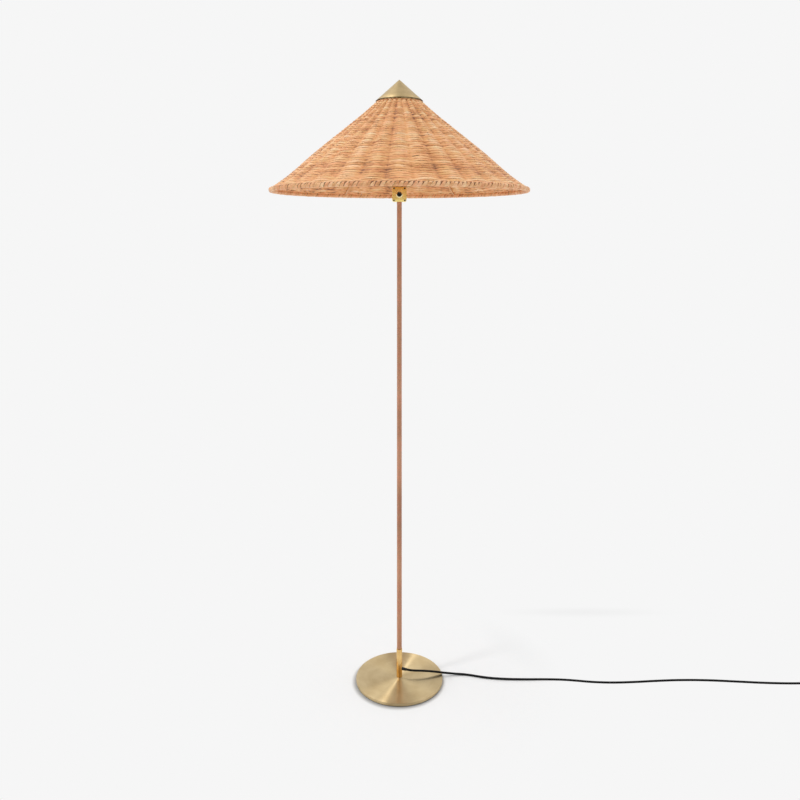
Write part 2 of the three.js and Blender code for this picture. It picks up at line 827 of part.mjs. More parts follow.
function makeHolder() {
  const insideRadius = holderRadius - holderWall;
  const domeTop = holderNeckHeight + holderDomeRise;
  const cap = [
    [pipeRadius + seatGap, 0],
    [holderNeckRadius, 0],
    [holderNeckRadius, holderNeckHeight],
    [holderRadius, domeTop],
    [holderRadius, holderCapHeight],
    [insideRadius, holderCapHeight],
    [insideRadius, domeTop + holderWall / 2],
    [holderNeckRadius - holderWall / 2, holderNeckHeight + holderWall],
    [pipeRadius + seatGap, holderNeckHeight + holderWall],
  ];
  const shell = [
    [insideRadius, 0],
    [holderRadius, 0],
    [holderRadius, holderShellHeight - holderLip],
    [holderRadius - holderLip, holderShellHeight],
    [holderRadius - holderLip - holderWall, holderShellHeight],
    [insideRadius, holderShellHeight - holderLip - holderWall],
  ];
  const insertBore = bulbCapRadius + 2 * seatGap + threadShellWall;
  const insertOuter = insideRadius - seatGap;
  const contactHole = contactRadius + seatGap;
  const insert = [
    [contactHole, 0],
    [insertOuter, 0],
    [insertOuter, insertFloor],
    [insertBore + insertWall, insertFloor + insertWall],
    [insertBore + insertWall, insertHeight],
    [insertBore, insertHeight],
    [insertBore, insertFloor],
    [contactHole, insertFloor],
  ];
  const threadShell = pipe(insertBore - seatGap, bulbCapRadius + seatGap, threadShellHeight, middleSides);
  const contact = rod(contactRadius, insertFloor + contactProud, tinySides);
  const nippleBottom = boxTop - boxWall - 2 * seatGap - pipeNutHeight - threadProud;
  const nippleLength = holderBottom + holderNeckHeight + threadProud - nippleBottom;
  return [
    assembly(nippleBottom, piece("holder_nipple", pipe(pipeRadius, pipeBore, nippleLength, smallSides), steel)),
    assembly(holderBottom, piece("holder_cap", revolve(cap, middleSides), brightBrass)),
    assembly(
      insertBottom,
      piece("holder_shell", revolve(shell, middleSides), brightBrass),
      piece("holder_insert", revolve(insert, middleSides), porcelain),
      piece("centre_contact", contact, brightBrass),
    ),
    assembly(insertBottom + insertFloor + seatGap, piece("thread_shell", threadShell, brightBrass)),
  ];
}

function makeBulb() {
  const taper = bulbTipHeight + bulbInsulatorHeight;
  const cap = [
    [0, 0],
    [bulbTipRadius, 0],
    [bulbTipRadius, bulbTipHeight],
    [bulbCapRadius, taper],
    [bulbCapRadius, bulbCapHeight],
    [bulbCapRadius - bulbCapWall, bulbCapHeight],
    [bulbCapRadius - bulbCapWall, bulbCapFloor],
    [0, bulbCapFloor],
  ];
  const inNeck = bulbCapHeight - bulbCapFloor;
  const outside = [
    [bulbNeckRadius, 0],
    [bulbNeckRadius, inNeck],
    ...bulbShares.map(([radiusShare, heightShare]) => [radiusShare * bulbRadius, heightShare * bulbHeight]),
    [0, bulbHeight],
  ];
  const inside = outside.map(([radius, height]) => [
    Math.max(radius - bulbGlassWall, 0),
    height === 0 ? 0 : height - bulbGlassWall,
  ]);
  const glass = revolve([...inside.toReversed(), ...outside], middleSides);
  return [
    assembly(bulbBottom, piece("bulb_cap", revolve(cap, middleSides), steel)),
    assembly(bulbBottom + bulbCapFloor + seatGap, piece("bulb_glass", glass, opalGlass)),
  ];
}

const weaveOutline = weaveShares.map(([radiusShare, heightShare]) => [
  weaveTopRadius + radiusShare * (weaveBottomRadius - weaveTopRadius),
  weaveBottom + heightShare * weaveHeight,
]);
const [[lastRadius, lastHeight], [topRadius, topHeight]] = weaveOutline.slice(-2);
const topSlope = Math.atan2(topHeight - lastHeight, lastRadius - topRadius);
const fluteInset = fluteDepth * Math.sin(topSlope);
const ribLine = offsetOutline(weaveOutline, weaveThickness + fluteInset + seatGap + ribRadius);
const bottomRingRadius = weaveBottomRadius + borderReach - borderWidth / 2;

function makeShadeFrame() {
  const insideFace = weaveThickness + fluteInset + seatGap;
  const ringDrop = weaveTopMargin / Math.tan(topSlope);
  const ringInset = (insideFace + topRingWireRadius) / Math.sin(topSlope);
  const topRingRadius = weaveTopRadius + ringDrop - ringInset;
  const hubMiddle = hubThickness / 2;
  const armStart = vector([hubRadius - armRadius, 0, hubMiddle]);
  const armEnd = vector([topRingRadius, 0, hubMiddle + armRise]);
  const arm = wire(new THREE.LineCurve3(armStart, armEnd), armRadius, 1, wireSides);
  const hub = cut(rod(hubRadius, hubThickness, smallSides), throughHole(studRadius + seatGap, hubThickness));
  const spokes = Array.from({ length: armCount }, (_, i) => arm.clone().rotateZ((i / armCount) * 2 * Math.PI));
  const topRing = ringOf(topRingRadius, topRingWireRadius, wireSides, discSides).translate(0, 0, hubMiddle + armRise);
  const bottomRing = ringOf(bottomRingRadius, bottomRingWireRadius, sealedWireSides, ringSides);
  const across = new THREE.Vector3(0, 1, 0);
  const rib = sweep(ribPath(topRingRadius), roundSection(ribRadius, wireSides), () => across);
  return [
    assembly(hubBottom, piece("shade_spider", join(hub, ...spokes, topRing), wireFrame)),
    assembly(borderCentre, piece("shade_bottom_ring", bottomRing, wireFrame)),
    ...Array.from({ length: ribCount }, (_, i) => {
      const turned = rib.clone().rotateZ((i / ribCount) * 2 * Math.PI);
      return piece(`shade_rib_${i + 1}`, turned, wireFrame);
    }),
  ];
}

function ringOf(radius, thickRadius, sectionSides, sides) {
  return revolve(roundSection(thickRadius, sectionSides).map(({ x, y }) => [radius + x, y]), sides);
}

// A rib lies under the weave, from just below the top ring to the bottom ring inside the border.
function ribPath(topRingRadius) {
  const topClearance = topRingWireRadius + seatGap;
  const top = [
    topRingRadius + topClearance * Math.cos(topSlope),
    topRingHeight - topClearance * Math.sin(topSlope),
  ];
  const [startRadius, startHeight] = ribLine[0];
  const toRing = new THREE.Vector2(bottomRingRadius - startRadius, borderCentre - startHeight);
  const toRingLength = toRing.length();
  toRing.setLength(toRingLength - bottomRingWireRadius - seatGap);
  const bottom = [startRadius + toRing.x, startHeight + toRing.y];
  return [bottom, ...ribLine.slice(0, -1), top].map(([radius, height]) => vector([radius, 0, height]));
}

// The cone keeps one thickness while its radius swells and sinks round the flutes.
function makeWeave() {
  const inside = offsetOutline(weaveOutline, weaveThickness);
  const cone = revolve([...weaveOutline, ...inside.toReversed()], fluteCount * fluteSteps);
  const positions = cone.getAttribute("position");
  for (let i = 0; i < positions.count; i += 1) {
    const x = positions.getX(i);
    const y = positions.getY(i);
    const wave = Math.cos(fluteCount * Math.atan2(y, x));
    const scale = 1 - ((fluteDepth / 2) * (1 - wave)) / Math.hypot(x, y);
    positions.setXY(i, x * scale, y * scale);
  }
  cone.computeVertexNormals();
  return piece("shade_weave", cone, shadeCane);
}

// The border wraps the bottom ring and is open towards the ribs.
function makeBorder() {
  const slot = ribRadius + seatGap;
  const channel = (bottomRingWireRadius + seatGap) / Math.cos(Math.PI / (borderChannelSteps + 1));
  const [ribEndRadius, ribEndHeight] = ribLine[0];
  const facing = Math.atan2(ribEndHeight - borderCentre, ribEndRadius - bottomRingRadius);
  const outerLip = slot / (borderWidth / 2);
  const innerLip = Math.asin(slot / channel);
  const arc = (lip, steps, xRadius, yRadius) =>
    Array.from({ length: steps + 1 }, (_, i) => {
      const turn = facing + lip + (i / steps) * 2 * (Math.PI - lip);
      return [bottomRingRadius + xRadius * Math.cos(turn), yRadius * Math.sin(turn)];
    });
  const outer = arc(outerLip, borderLipSteps, borderWidth / 2, borderHeight / 2);
  const inner = arc(innerLip, borderChannelSteps, channel, channel);
  return assembly(
    borderCentre,
    piece("shade_border", revolve([...outer, ...inner.toReversed()], ringSides), borderCane),
  );
}

function makeCap() {
  const slope = Math.atan2(capHeight, capRadius);
  const sheetAcross = capSheet / Math.sin(slope);
  const sheetUp = capSheet / Math.cos(slope);
  const cone = [
    [0, capHeight],
    [capRadius, 0],
    [capRadius - sheetAcross, 0],
    [0, capHeight - sheetUp],
  ];
  const bossBottom = hubBottom + hubThickness + seatGap;
  const bossTip = capRim + capHeight - sheetUp - seatGap / Math.cos(slope) - bossBottom;
  const bossShoulder = bossTip - capBossRadius * Math.tan(slope);
  const boreTop = studThread + capBossBoreMargin;
  const boss = [
    [0, boreTop],
    [studRadius + seatGap, boreTop],
    [studRadius + seatGap, 0],
    [capBossRadius, 0],
    [capBossRadius, bossShoulder],
    [0, bossTip],
  ];
  return [
    assembly(capRim, piece("brass_cap", revolve(cone, discSides), paleBrass)),
    assembly(bossBottom, piece("cap_boss", revolve(boss, smallSides), agedBrass)),
  ];
}

// Spirals in, climbs a layer in the half turn where it reverses, and spirals out again.
function coilPath() {
  const [startX, startY] = coilStart;
  const centreY = startY + coilOuterRadius;
  const steps = coilTurns * stepsPerCoilLoop;
  const bottom = cordRadius + coilLift;
  const turns = Array.from({ length: steps + 1 }, (_, i) => {
    const done = i / stepsPerCoilLoop;
    const turn = (done - 0.25) * 2 * Math.PI;
    const inward = Math.min(done, coilTurns - done);
    const climb = THREE.MathUtils.clamp((done - (coilTurns - coilClimbTurns) / 2) / coilClimbTurns, 0, 1);
    const radius = coilOuterRadius - inward * coilPitch;
    return vector([
      startX + radius * Math.cos(turn),
      centreY + radius * Math.sin(turn),
      bottom + climb * coilLayerRise,
    ]);
  });
  const straight = 2 * cordRadius;
  const lead = vector([startX - straight, startY, bottom]);
  const tail = vector([startX + coilOuterRadius, centreY + straight, bottom + coilLayerRise]);
  return [lead, ...turns, tail];
}

function makeCord() {
  const path = coilPath();
  const up = new THREE.Vector3(0, 0, 1);
  const coil = sweep(path, roundSection(cordRadius, wireSides), () => up);
  const gap = leastGap(path, 2 * cordRadius, stepsPerCoilLoop);
  console.log(`cord coil: least gap ${gap.toFixed(2)} mm`);
  const exit = outletPoint(reliefEnd + seatGap);
  const straightOut = outletPoint(reliefEnd + seatGap + 2 * cordRadius);
  const coilFace = path[0];
  const beforeCoil = coilFace.clone().add(vector([-coilApproach, 0, 0]));
  const end = coilFace.clone().add(vector([-seatGap, 0, 0]));
  const points = [...[exit, straightOut, ...cordRoute].map(vector), beforeCoil, end];
  const run = new THREE.CatmullRomCurve3(points, false, "centripetal");
  const coilLength = new THREE.CatmullRomCurve3(path).getLength();
  console.log(`cord: ${run.getLength().toFixed(0)} mm laid out, ${coilLength.toFixed(0)} mm coiled`);
  return [
    piece("cord_run", wire(run, cordRadius, cordSteps, cordSides), blackCord),
    piece("cord_coil", coil, blackCord),
    piece("coil_tie", coilTie(), blackPlastic),
    makePlug(path.at(-1)),
  ];
}

// A strap round all the turns, on the side of the coil away from the lamp's front.
function coilTie() {
  const [startX, startY] = coilStart;
  const inner = coilOuterRadius - (coilTurns / 2) * coilPitch - cordRadius - seatGap;
  const outer = coilOuterRadius + cordRadius + seatGap;
  const bottom = tieThickness;
  const top = coilLift + coilLayerRise + 2 * cordRadius + seatGap;
  const rectangle = (grow) => [
    new THREE.Vector2(inner - grow, bottom - grow),
    new THREE.Vector2(outer + grow, bottom - grow),
    new THREE.Vector2(outer + grow, top + grow),
    new THREE.Vector2(inner - grow, top + grow),
  ];
  const strap = new THREE.Shape(rectangle(tieThickness));
  strap.holes.push(new THREE.Path(rectangle(0)));
  return extrude(strap, tieWidth)
    .rotateX(Math.PI / 2)
    .translate(0, tieWidth / 2, 0)
    .rotateZ(Math.PI / 2)
    .translate(startX, startY + coilOuterRadius, 0);
}

// The plug lies on the floor beside the coil, its pins along +Y.
function makePlug(cordEnd) {
  const halfHeight = cordEnd.z;
  const flatHeight = 2 * (halfHeight - plugEdgeRound);
  const halfRear = plugRearHalfWidth - plugEdgeRound;
  const halfFront = plugHalfWidth - plugEdgeRound;
  const rear = plugReliefLength + plugEdgeRound;
  const front = plugReliefLength + plugLength - plugEdgeRound;
  const waist = plugReliefLength + plugLength / 2;
  const outline = new THREE.Shape();
  outline.moveTo(-halfRear, rear);
  outline.lineTo(halfRear, rear);
  outline.quadraticCurveTo(halfFront, (rear + waist) / 2, halfFront, waist);
  outline.lineTo(halfFront, front);
  outline.lineTo(-halfFront, front);
  outline.lineTo(-halfFront, waist);
  outline.quadraticCurveTo(-halfFront, (rear + waist) / 2, -halfRear, rear);
  const body = new THREE.ExtrudeGeometry(outline, {
    depth: flatHeight,
    bevelThickness: plugEdgeRound,
    bevelSize: plugEdgeRound,
    bevelSegments: 2,
    curveSegments: 3,
  }).translate(0, 0, plugEdgeRound - halfHeight);
  const relief = revolve(
    [
      [0, 0],
      [cordRadius + seatGap, 0],
      [plugReliefRadius, plugReliefLength],
      [plugReliefRadius, rear],
      [0, rear],
    ],
    smallSides,
  ).rotateX(-Math.PI / 2);
  const pin = rod(pinRadius, pinLength, wireSides).rotateX(-Math.PI / 2);
  const pinStart = plugReliefLength + plugLength + seatGap;
  const plug = new THREE.Group();
  plug.position.set(cordEnd.x, cordEnd.y + seatGap, cordEnd.z);
  plug.add(
    piece("plug_body", join(body, relief), blackPlastic),
    piece("plug_pin_1", pin.clone().translate(-pinSpacing / 2, pinStart, 0), brightBrass),
    piece("plug_pin_2", pin.clone().translate(pinSpacing / 2, pinStart, 0), brightBrass),
  );
  return plug;
}

const lamp = new THREE.Group();
lamp.add(
  ...makeBase(),
  ...makeStem(),
  makeOutlet(),
  ...makeSwitchBox(),
  ...makeWires(),
  ...makeHarp(),
  ...makeHolder(),
  ...makeBulb(),
  ...makeShadeFrame(),
  makeWeave(),
  makeBorder(),
  ...makeCap(),
  ...makeCord(),
);

export default lamp;
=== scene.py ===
import math
import bpy
import numpy as np
from mathutils import Matrix, Vector


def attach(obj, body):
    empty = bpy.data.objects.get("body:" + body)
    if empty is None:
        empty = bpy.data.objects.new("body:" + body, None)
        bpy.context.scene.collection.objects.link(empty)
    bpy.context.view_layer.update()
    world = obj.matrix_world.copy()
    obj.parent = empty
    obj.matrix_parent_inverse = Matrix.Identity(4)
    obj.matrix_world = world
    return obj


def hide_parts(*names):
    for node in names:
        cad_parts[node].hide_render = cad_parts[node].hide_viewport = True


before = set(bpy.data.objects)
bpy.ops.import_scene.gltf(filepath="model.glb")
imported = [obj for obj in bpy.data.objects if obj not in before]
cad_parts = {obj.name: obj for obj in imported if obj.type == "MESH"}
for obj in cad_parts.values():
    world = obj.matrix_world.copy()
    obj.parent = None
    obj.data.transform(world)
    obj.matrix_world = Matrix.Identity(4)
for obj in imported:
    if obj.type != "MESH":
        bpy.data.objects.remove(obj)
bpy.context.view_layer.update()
for spare in ("Cube", "Light", "Camera"):
    if spare in bpy.data.objects:
        bpy.data.objects.remove(bpy.data.objects[spare])

mm = 0.001
fullTurn = 2 * math.pi
draw = np.random.default_rng(41)
print("frame loaded:", len(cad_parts), "solids")


def take(sizes, *names):
    return [sizes[name] for name in names]


def metres(spot):
    return [c * mm for c in spot]


def leaveEdit(piece=None):
    if bpy.context.object and bpy.context.object.mode != "OBJECT":
        bpy.ops.object.mode_set(mode="OBJECT")
    return piece


def clearSelection():
    leaveEdit()
    bpy.ops.object.select_all(action="DESELECT")


def activate(piece):
    clearSelection()
    piece.select_set(True)
    bpy.context.view_layer.objects.active = piece
    return piece


def settle(name):  # place, turn and size of the newest object go into its mesh
    piece = activate(bpy.context.object)
    piece.name = piece.data.name = name
    bpy.ops.object.transform_apply(location=True, rotation=True, scale=True)
    return piece


def link(name, data):
    piece = bpy.data.objects.new(name, data)
    bpy.context.scene.collection.objects.link(piece)
    return piece


def slab(name, middle, size, turn=0):  # a block to be shaped, in mm
    clearSelection()
    bpy.ops.mesh.primitive_cube_add(
        size=1, location=metres(middle), scale=metres(size), rotation=(0, 0, turn))
    return settle(name)


def editAll(piece):
    activate(piece)
    bpy.ops.object.mode_set(mode="EDIT")
    bpy.ops.mesh.select_all(action="SELECT")


def pick(piece, kind, test):  # selects faces or edges by their place
    bpy.ops.mesh.select_all(action="DESELECT")
    bpy.ops.mesh.select_mode(type=kind)
    bpy.ops.object.mode_set(mode="OBJECT")
    for part in piece.data.polygons if kind == "FACE" else piece.data.edges:
        part.select = bool(test(part))
    bpy.ops.object.mode_set(mode="EDIT")


def pull(x=0, y=0, z=0):  # draws the selected faces out, in mm
    bpy.ops.mesh.extrude_region_move(TRANSFORM_OT_translate={"value": metres((x, y, z))})


def modify(piece, kind, **settings):
    activate(piece)
    bpy.ops.object.modifier_add(type=kind)
    modifier = piece.modifiers[-1]
    for key, value in settings.items():
        setattr(modifier, key, value)
    bpy.ops.object.modifier_apply(modifier=modifier.name)
    return piece


def soften(piece, width, segments=3, angle=30):
    return modify(piece, "BEVEL", width=width * mm, segments=segments, limit_method="ANGLE",
                  angle_limit=math.radians(angle))


def smooth(piece, angle=35):
    activate(piece)
    bpy.ops.object.shade_smooth_by_angle(angle=math.radians(angle))
    return piece


def cutWith(piece, tool, operation="DIFFERENCE"):
    modify(piece, "BOOLEAN", object=tool, operation=operation, solver="EXACT")
    bpy.data.objects.remove(tool)
    return piece


def shift(x=0, y=0, z=0):
    return Matrix.Translation(metres((x, y, z)))


def roll(angle, axis):
    return Matrix.Rotation(angle, 4, axis)


def place(piece, matrix):
    piece.data.transform(matrix)
    return piece


def wear(piece, body, finish, *nodes):  # what it rides on, its finish, and what it stands for
    slot, material = finishes[finish]
    piece.data.materials.clear()
    piece.data.materials.append(material)
    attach(piece, body)
    if nodes:
        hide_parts(*nodes)
    return piece


def around(count):
    return np.arange(count) / count * fullTurn


# Points of a profile that bend from the top of an oval outward.
def curved(middleR, middleZ, reachR, reachZ, steps, angle=math.pi / 2):
    angles = [i / steps * angle for i in range(steps + 1)]
    return [(middleR + reachR * math.sin(t), middleZ + reachZ * math.cos(t)) for t in angles]


def zigzag(radius, depth, start, step, count):  # profile of a thread
    return [(radius - depth * (i % 2), start + i * step) for i in range(count)]


# Profile of soft ribs between two radii; each step is a depth under the rib and a share of its pitch.
def ribbed(start, end, count, radii, steps, offset=0):
    first, last = radii
    pitch = (end - start) / count
    return [(first + (i + offset) / count * (last - first) - drop, start + (i + share) * pitch)
            for i in range(count) for drop, share in steps]


# A round piece is drawn out ring by ring along its profile of (radius, height) in mm, with heights counted
# from its base. A profile that starts off the axis is closed.
def turned(name, profile, sides, base=0):
    pole, weld = 0.01, 0.03
    rings = [(max(radius, pole), base + height) for radius, height in profile]
    if rings[0][0] > pole:
        rings.append(rings[0])
    (radius, height), *rest = rings
    clearSelection()
    bpy.ops.mesh.primitive_circle_add(vertices=sides, radius=radius * mm, location=(0, 0, height * mm))
    piece = settle(name)
    editAll(piece)
    for nextRadius, nextHeight in rest:
        grow, rise = nextRadius / radius, (nextHeight - height) * mm
        bpy.ops.mesh.extrude_edges_move(TRANSFORM_OT_translate={"value": (0, 0, rise)})
        bpy.ops.transform.resize(value=(grow, grow, 1), center_override=(0, 0, nextHeight * mm))
        radius, height = nextRadius, nextHeight
    bpy.ops.mesh.select_all(action="SELECT")
    bpy.ops.mesh.remove_doubles(threshold=weld * mm)
    bpy.ops.mesh.normals_make_consistent(inside=False)
    return leaveEdit(piece)


def rod(name, radius, low, high, sides=48):
    return turned(name, [(0, low), (radius, low), (radius, high), (0, high)], sides)


def hoop(name, radius, height, across, up, sectionSides, sides):  # a ring with an oval section
    section = [(radius + across * math.cos(t), height + up * math.sin(t)) for t in around(sectionSides)]
    return smooth(turned(name, section, sides), 60)


def smoothLine(points, perSpan):  # passes through every point
    points = [Vector(p) for p in points]
    ends = [2 * points[0] - points[1], *points, 2 * points[-1] - points[-2]]
    line = []
    for a, b, c, d in zip(ends, ends[1:], ends[2:], ends[3:]):
        for i in range(perSpan):
            t = i / perSpan
            line.append(0.5 * (2 * b + (c - a) * t + (2 * a - 5 * b + 4 * c - d) * t * t
                               + (3 * b - a - 3 * c + d) * t ** 3))
    return [tuple(p) for p in [*line, points[-1]]]


def roundCurve(name, kind, radius, detail):
    curve = bpy.data.curves.new(name, "CURVE")
    curve.dimensions = "3D"
    curve.bevel_depth = radius * mm
    curve.bevel_resolution = detail
    curve.use_fill_caps = True
    return curve, curve.splines.new(kind)


def wirePiece(name, points, radius, detail=3):  # round wire along points in mm
    curve, spline = roundCurve(name, "POLY", radius, detail)
    spline.points.add(len(points) - 1)
    for point, spot in zip(spline.points, points):
        point.co = (*metres(spot), 1)
    activate(link(name, curve))
    bpy.ops.object.convert(target="MESH")
    return smooth(settle(name))


def polar(radius, angle, height):
    return np.stack(np.broadcast_arrays(radius * np.cos(angle), radius * np.sin(angle), height), axis=-1)


def runAlong(points, closed=False):  # distance from the first point to each
    if closed:
        points = np.append(points, points[:1], axis=0)
    return np.concatenate([[0], np.cumsum(np.linalg.norm(np.diff(points, axis=0), axis=1))])


# Many strands in one mesh. Each has rows of section rings in mm, says whether it is closed, and has a tone:
# one value, one for each ring or one for each point. Its UV map is in metres along and round it, and starts
# somewhere in a long range, so that each strand has its own fibres.
uvRange = 7


def loft(name, strands):
    points, faces, tones, uvs = [], [], [], []
    start = 0
    for rings, closed, tone in strands:
        count, sides = rings.shape[:2]
        rows = count if closed else count - 1
        index = start + np.arange(count * sides).reshape(count, sides)
        here, after = index[:rows], np.roll(index, -1, axis=0)[:rows]
        quads = np.stack([here, np.roll(here, -1, axis=1), np.roll(after, -1, axis=1), after], axis=-1)
        faces += quads.reshape(-1, 4).tolist()
        along = runAlong(rings.mean(axis=1), True) * mm + draw.random() * uvRange
        across = runAlong(rings[0], True) * mm
        u = along[np.arange(rows)[:, None] + (0, 0, 1, 1)]
        v = across[np.arange(sides)[:, None] + (0, 1, 1, 0)]
        uvs.append(np.stack(np.broadcast_arrays(u[:, None], v[None]), axis=-1).reshape(-1, 2))
        if not closed:
            faces += [index[0].tolist()[::-1], index[-1].tolist()]
            uvs.append(np.full((2 * sides, 2), along[0]))
        points.append(rings.reshape(-1, 3) * mm)
        tone = np.asarray(tone, dtype=float)
        tone = tone if tone.ndim == 2 else tone.reshape(-1, 1)
        tones.append(np.broadcast_to(tone, (count, sides)).ravel())
        start += count * sides
    mesh = bpy.data.meshes.new(name)
    mesh.from_pydata(np.concatenate(points).tolist(), [], faces)
    mesh.uv_layers.new(name="strand").data.foreach_set("uv", np.concatenate(uvs).astype(np.float32).ravel())
    tone = mesh.attributes.new("tone", "FLOAT", "POINT")
    tone.data.foreach_set("value", np.concatenate(tones).astype(np.float32))
    piece = link(name, mesh)
    editAll(piece)
    bpy.ops.mesh.normals_make_consistent(inside=False)
    return smooth(leaveEdit(piece), 80)


def linear(code):  # sRGB hex to the linear colour that Blender wants
    parts = [int(code[i:i + 2], 16) / 255 for i in (1, 3, 5)]
    return [c / 12.92 if c <= 0.04045 else ((c + 0.055) / 1.055) ** 2.4 for c in parts] + [1]


def add(tree, kind, inputs=None, out=0, stops=None, **settings):  # gives back the socket named by out
    made = tree.nodes.new("ShaderNode" + kind)
    for key, value in settings.items():
        setattr(made, key, value)
    for key, value in (inputs or {}).items():
        if isinstance(value, bpy.types.NodeSocket):
            tree.links.new(value, made.inputs[key])
        else:
            made.inputs[key].default_value = value
    if stops:
        elements = made.color_ramp.elements
        while len(elements) < len(stops):
            elements.new(0.5)
        for element, (position, code) in zip(elements, stops):
            element.position = position
            element.color = linear(code)
    return made.outputs[out] if made.outputs else None


def startMaterial(name):
    material = bpy.data.materials.new(name)
    material.use_nodes = True
    material.node_tree.nodes.clear()
    return material, material.node_tree


def endMaterial(tree, height, strength, depth, sockets):  # its relief follows height and is depth mm deep
    bump = add(tree, "Bump", {"Height": height, "Strength": strength, "Distance": depth * mm})
    shader = add(tree, "BsdfPrincipled", {"Normal": bump, **sockets})
    add(tree, "OutputMaterial", {"Surface": shader})


eased = {"interpolation_type": "SMOOTHSTEP"}

# Split cane keeps its glossy outer skin over straight fibres, and every strand has a tone of its own.
# Fibres are some 0.2 mm wide, and are drawn three times as coarse so that they show. Each mark has its
# length along the strand and its width across, in mm, and patches of the whole weave are 60 mm across.
caneMarks = {"fibre": (16, 0.6), "streak": (24, 2.2), "blush": (70, 6)}
canePatch = 60


def cane(name, palette, roughness, patchShare=0.5, streakShare=0.3):
    material, tree = startMaterial(name)
    strandMap = add(tree, "UVMap", uv_map="strand")
    marks = {}
    for kind, (long, wide) in caneMarks.items():
        spot = add(tree, "Mapping", {"Vector": strandMap, "Scale": (1 / (long * mm), 1 / (wide * mm), 1)})
        marks[kind] = add(tree, "TexNoise", {"Vector": spot, "Scale": 1.0, "Detail": 3.0, "Roughness": 0.6})
    where = add(tree, "TexCoord", out="Object")
    patch = add(tree, "TexNoise", {"Vector": where, "Scale": 1 / (canePatch * mm), "Detail": 2.0})
    total = add(tree, "Attribute", out="Fac", attribute_name="tone")
    for value, share in ((marks["fibre"], 0.3), (patch, patchShare)):
        part = add(tree, "Math", {0: value, 1: share, 2: -share / 2}, operation="MULTIPLY_ADD")
        total = add(tree, "Math", {0: total, 1: part}, operation="ADD")
    dark = add(tree, "MapRange", {
        "Value": marks["streak"], "From Min": 0.3, "From Max": 0.44, "To Min": -streakShare, "To Max": 0.0})
    total = add(tree, "Math", {0: total, 1: dark}, operation="ADD")
    ramp = add(tree, "ValToRGB", {"Fac": total}, stops=palette)
    blush = add(tree, "ValToRGB", {"Fac": marks["blush"]}, stops=[(0.35, "#ffefea"), (0.65, "#f5fbea")])
    colour = add(tree, "VectorMath", {0: ramp, 1: blush}, operation="MULTIPLY")
    gloss = add(tree, "MapRange", {
        "Value": marks["fibre"], "To Min": roughness - 0.08, "To Max": roughness + 0.14})
    endMaterial(tree, marks["fibre"], 0.5, 0.25, {"Base Color": colour, "Roughness": gloss})
    return material


# Metal with fine scratches and smudges; scratch is the length of one, in mm, along x, y and z. Painted shade
# along the lower edge is given by the heights, in mm, where it is darkest and where it has faded out.
smudgeSize = 17


def metal(name, light, dark, roughness, scratch=(1.1, 1.1, 1.1), depth=0.02, paintedShade=None):
    material, tree = startMaterial(name)
    where = add(tree, "TexCoord", out="Object")
    spot = add(tree, "Mapping", {"Vector": where, "Scale": [1 / (length * mm) for length in scratch]})
    grain = add(tree, "TexNoise", {"Vector": spot, "Scale": 1.0, "Detail": 3.0, "Roughness": 0.6})
    smudge = add(tree, "TexNoise", {"Vector": where, "Scale": 1 / (smudgeSize * mm), "Detail": 2.0})
    mixed = add(tree, "Math", {0: grain, 1: 0.5, 2: smudge}, operation="MULTIPLY_ADD")
    colour = add(tree, "ValToRGB", {"Fac": mixed}, stops=[(0.5, dark), (1.0, light)])
    # the lower edge is darkened here as painted shade, not as a real stain
    if paintedShade:
        darkest, faded = metres(paintedShade)
        height = add(tree, "SeparateXYZ", {"Vector": where}, out="Z")
        unshadedShare = add(tree, "MapRange", {
            "Value": height, "From Min": darkest, "From Max": faded, "To Min": 0.16, "To Max": 1.0})
        colour = add(tree, "VectorMath", {0: colour, "Scale": unshadedShare}, operation="SCALE")
    gloss = add(tree, "MapRange", {
        "Value": mixed, "From Max": 1.5, "To Min": roughness * 0.75, "To Max": roughness * 1.3})
    endMaterial(tree, grain, 0.3, depth, {"Base Color": colour, "Metallic": 1.0, "Roughness": gloss})
    return material


# Moulded, glazed or pressed stuff of one colour, with a grain of its own size in mm.
def moulded(name, light, dark, roughness, grainSize=0.6, depth=0.03, sockets=None):
    material, tree = startMaterial(name)
    where = add(tree, "TexCoord", out="Object")
    grain = add(tree, "TexNoise", {"Vector": where, "Scale": 1 / (grainSize * mm), "Detail": 3.0})
    colour = add(tree, "ValToRGB", {"Fac": grain}, stops=[(0.3, dark), (0.7, light)])
    gloss = add(tree, "MapRange", {"Value": grain, "To Min": roughness - 0.06, "To Max": roughness + 0.06})
    endMaterial(tree, grain, 0.4, depth, {"Base Color": colour, "Roughness": gloss, **(sockets or {})})
    return material


# Spun brass: the tool leaves rings round the axis, which fan every reflection out along the radius.
# The rings are 0.1 mm apart, and are drawn eight times as coarse so that they show. Sizes are in mm.
spun = {"ringWidth": 0.8, "ringWaver": 1.2, "cloud": 45, "roughness": 0.42, "depth": 0.02}


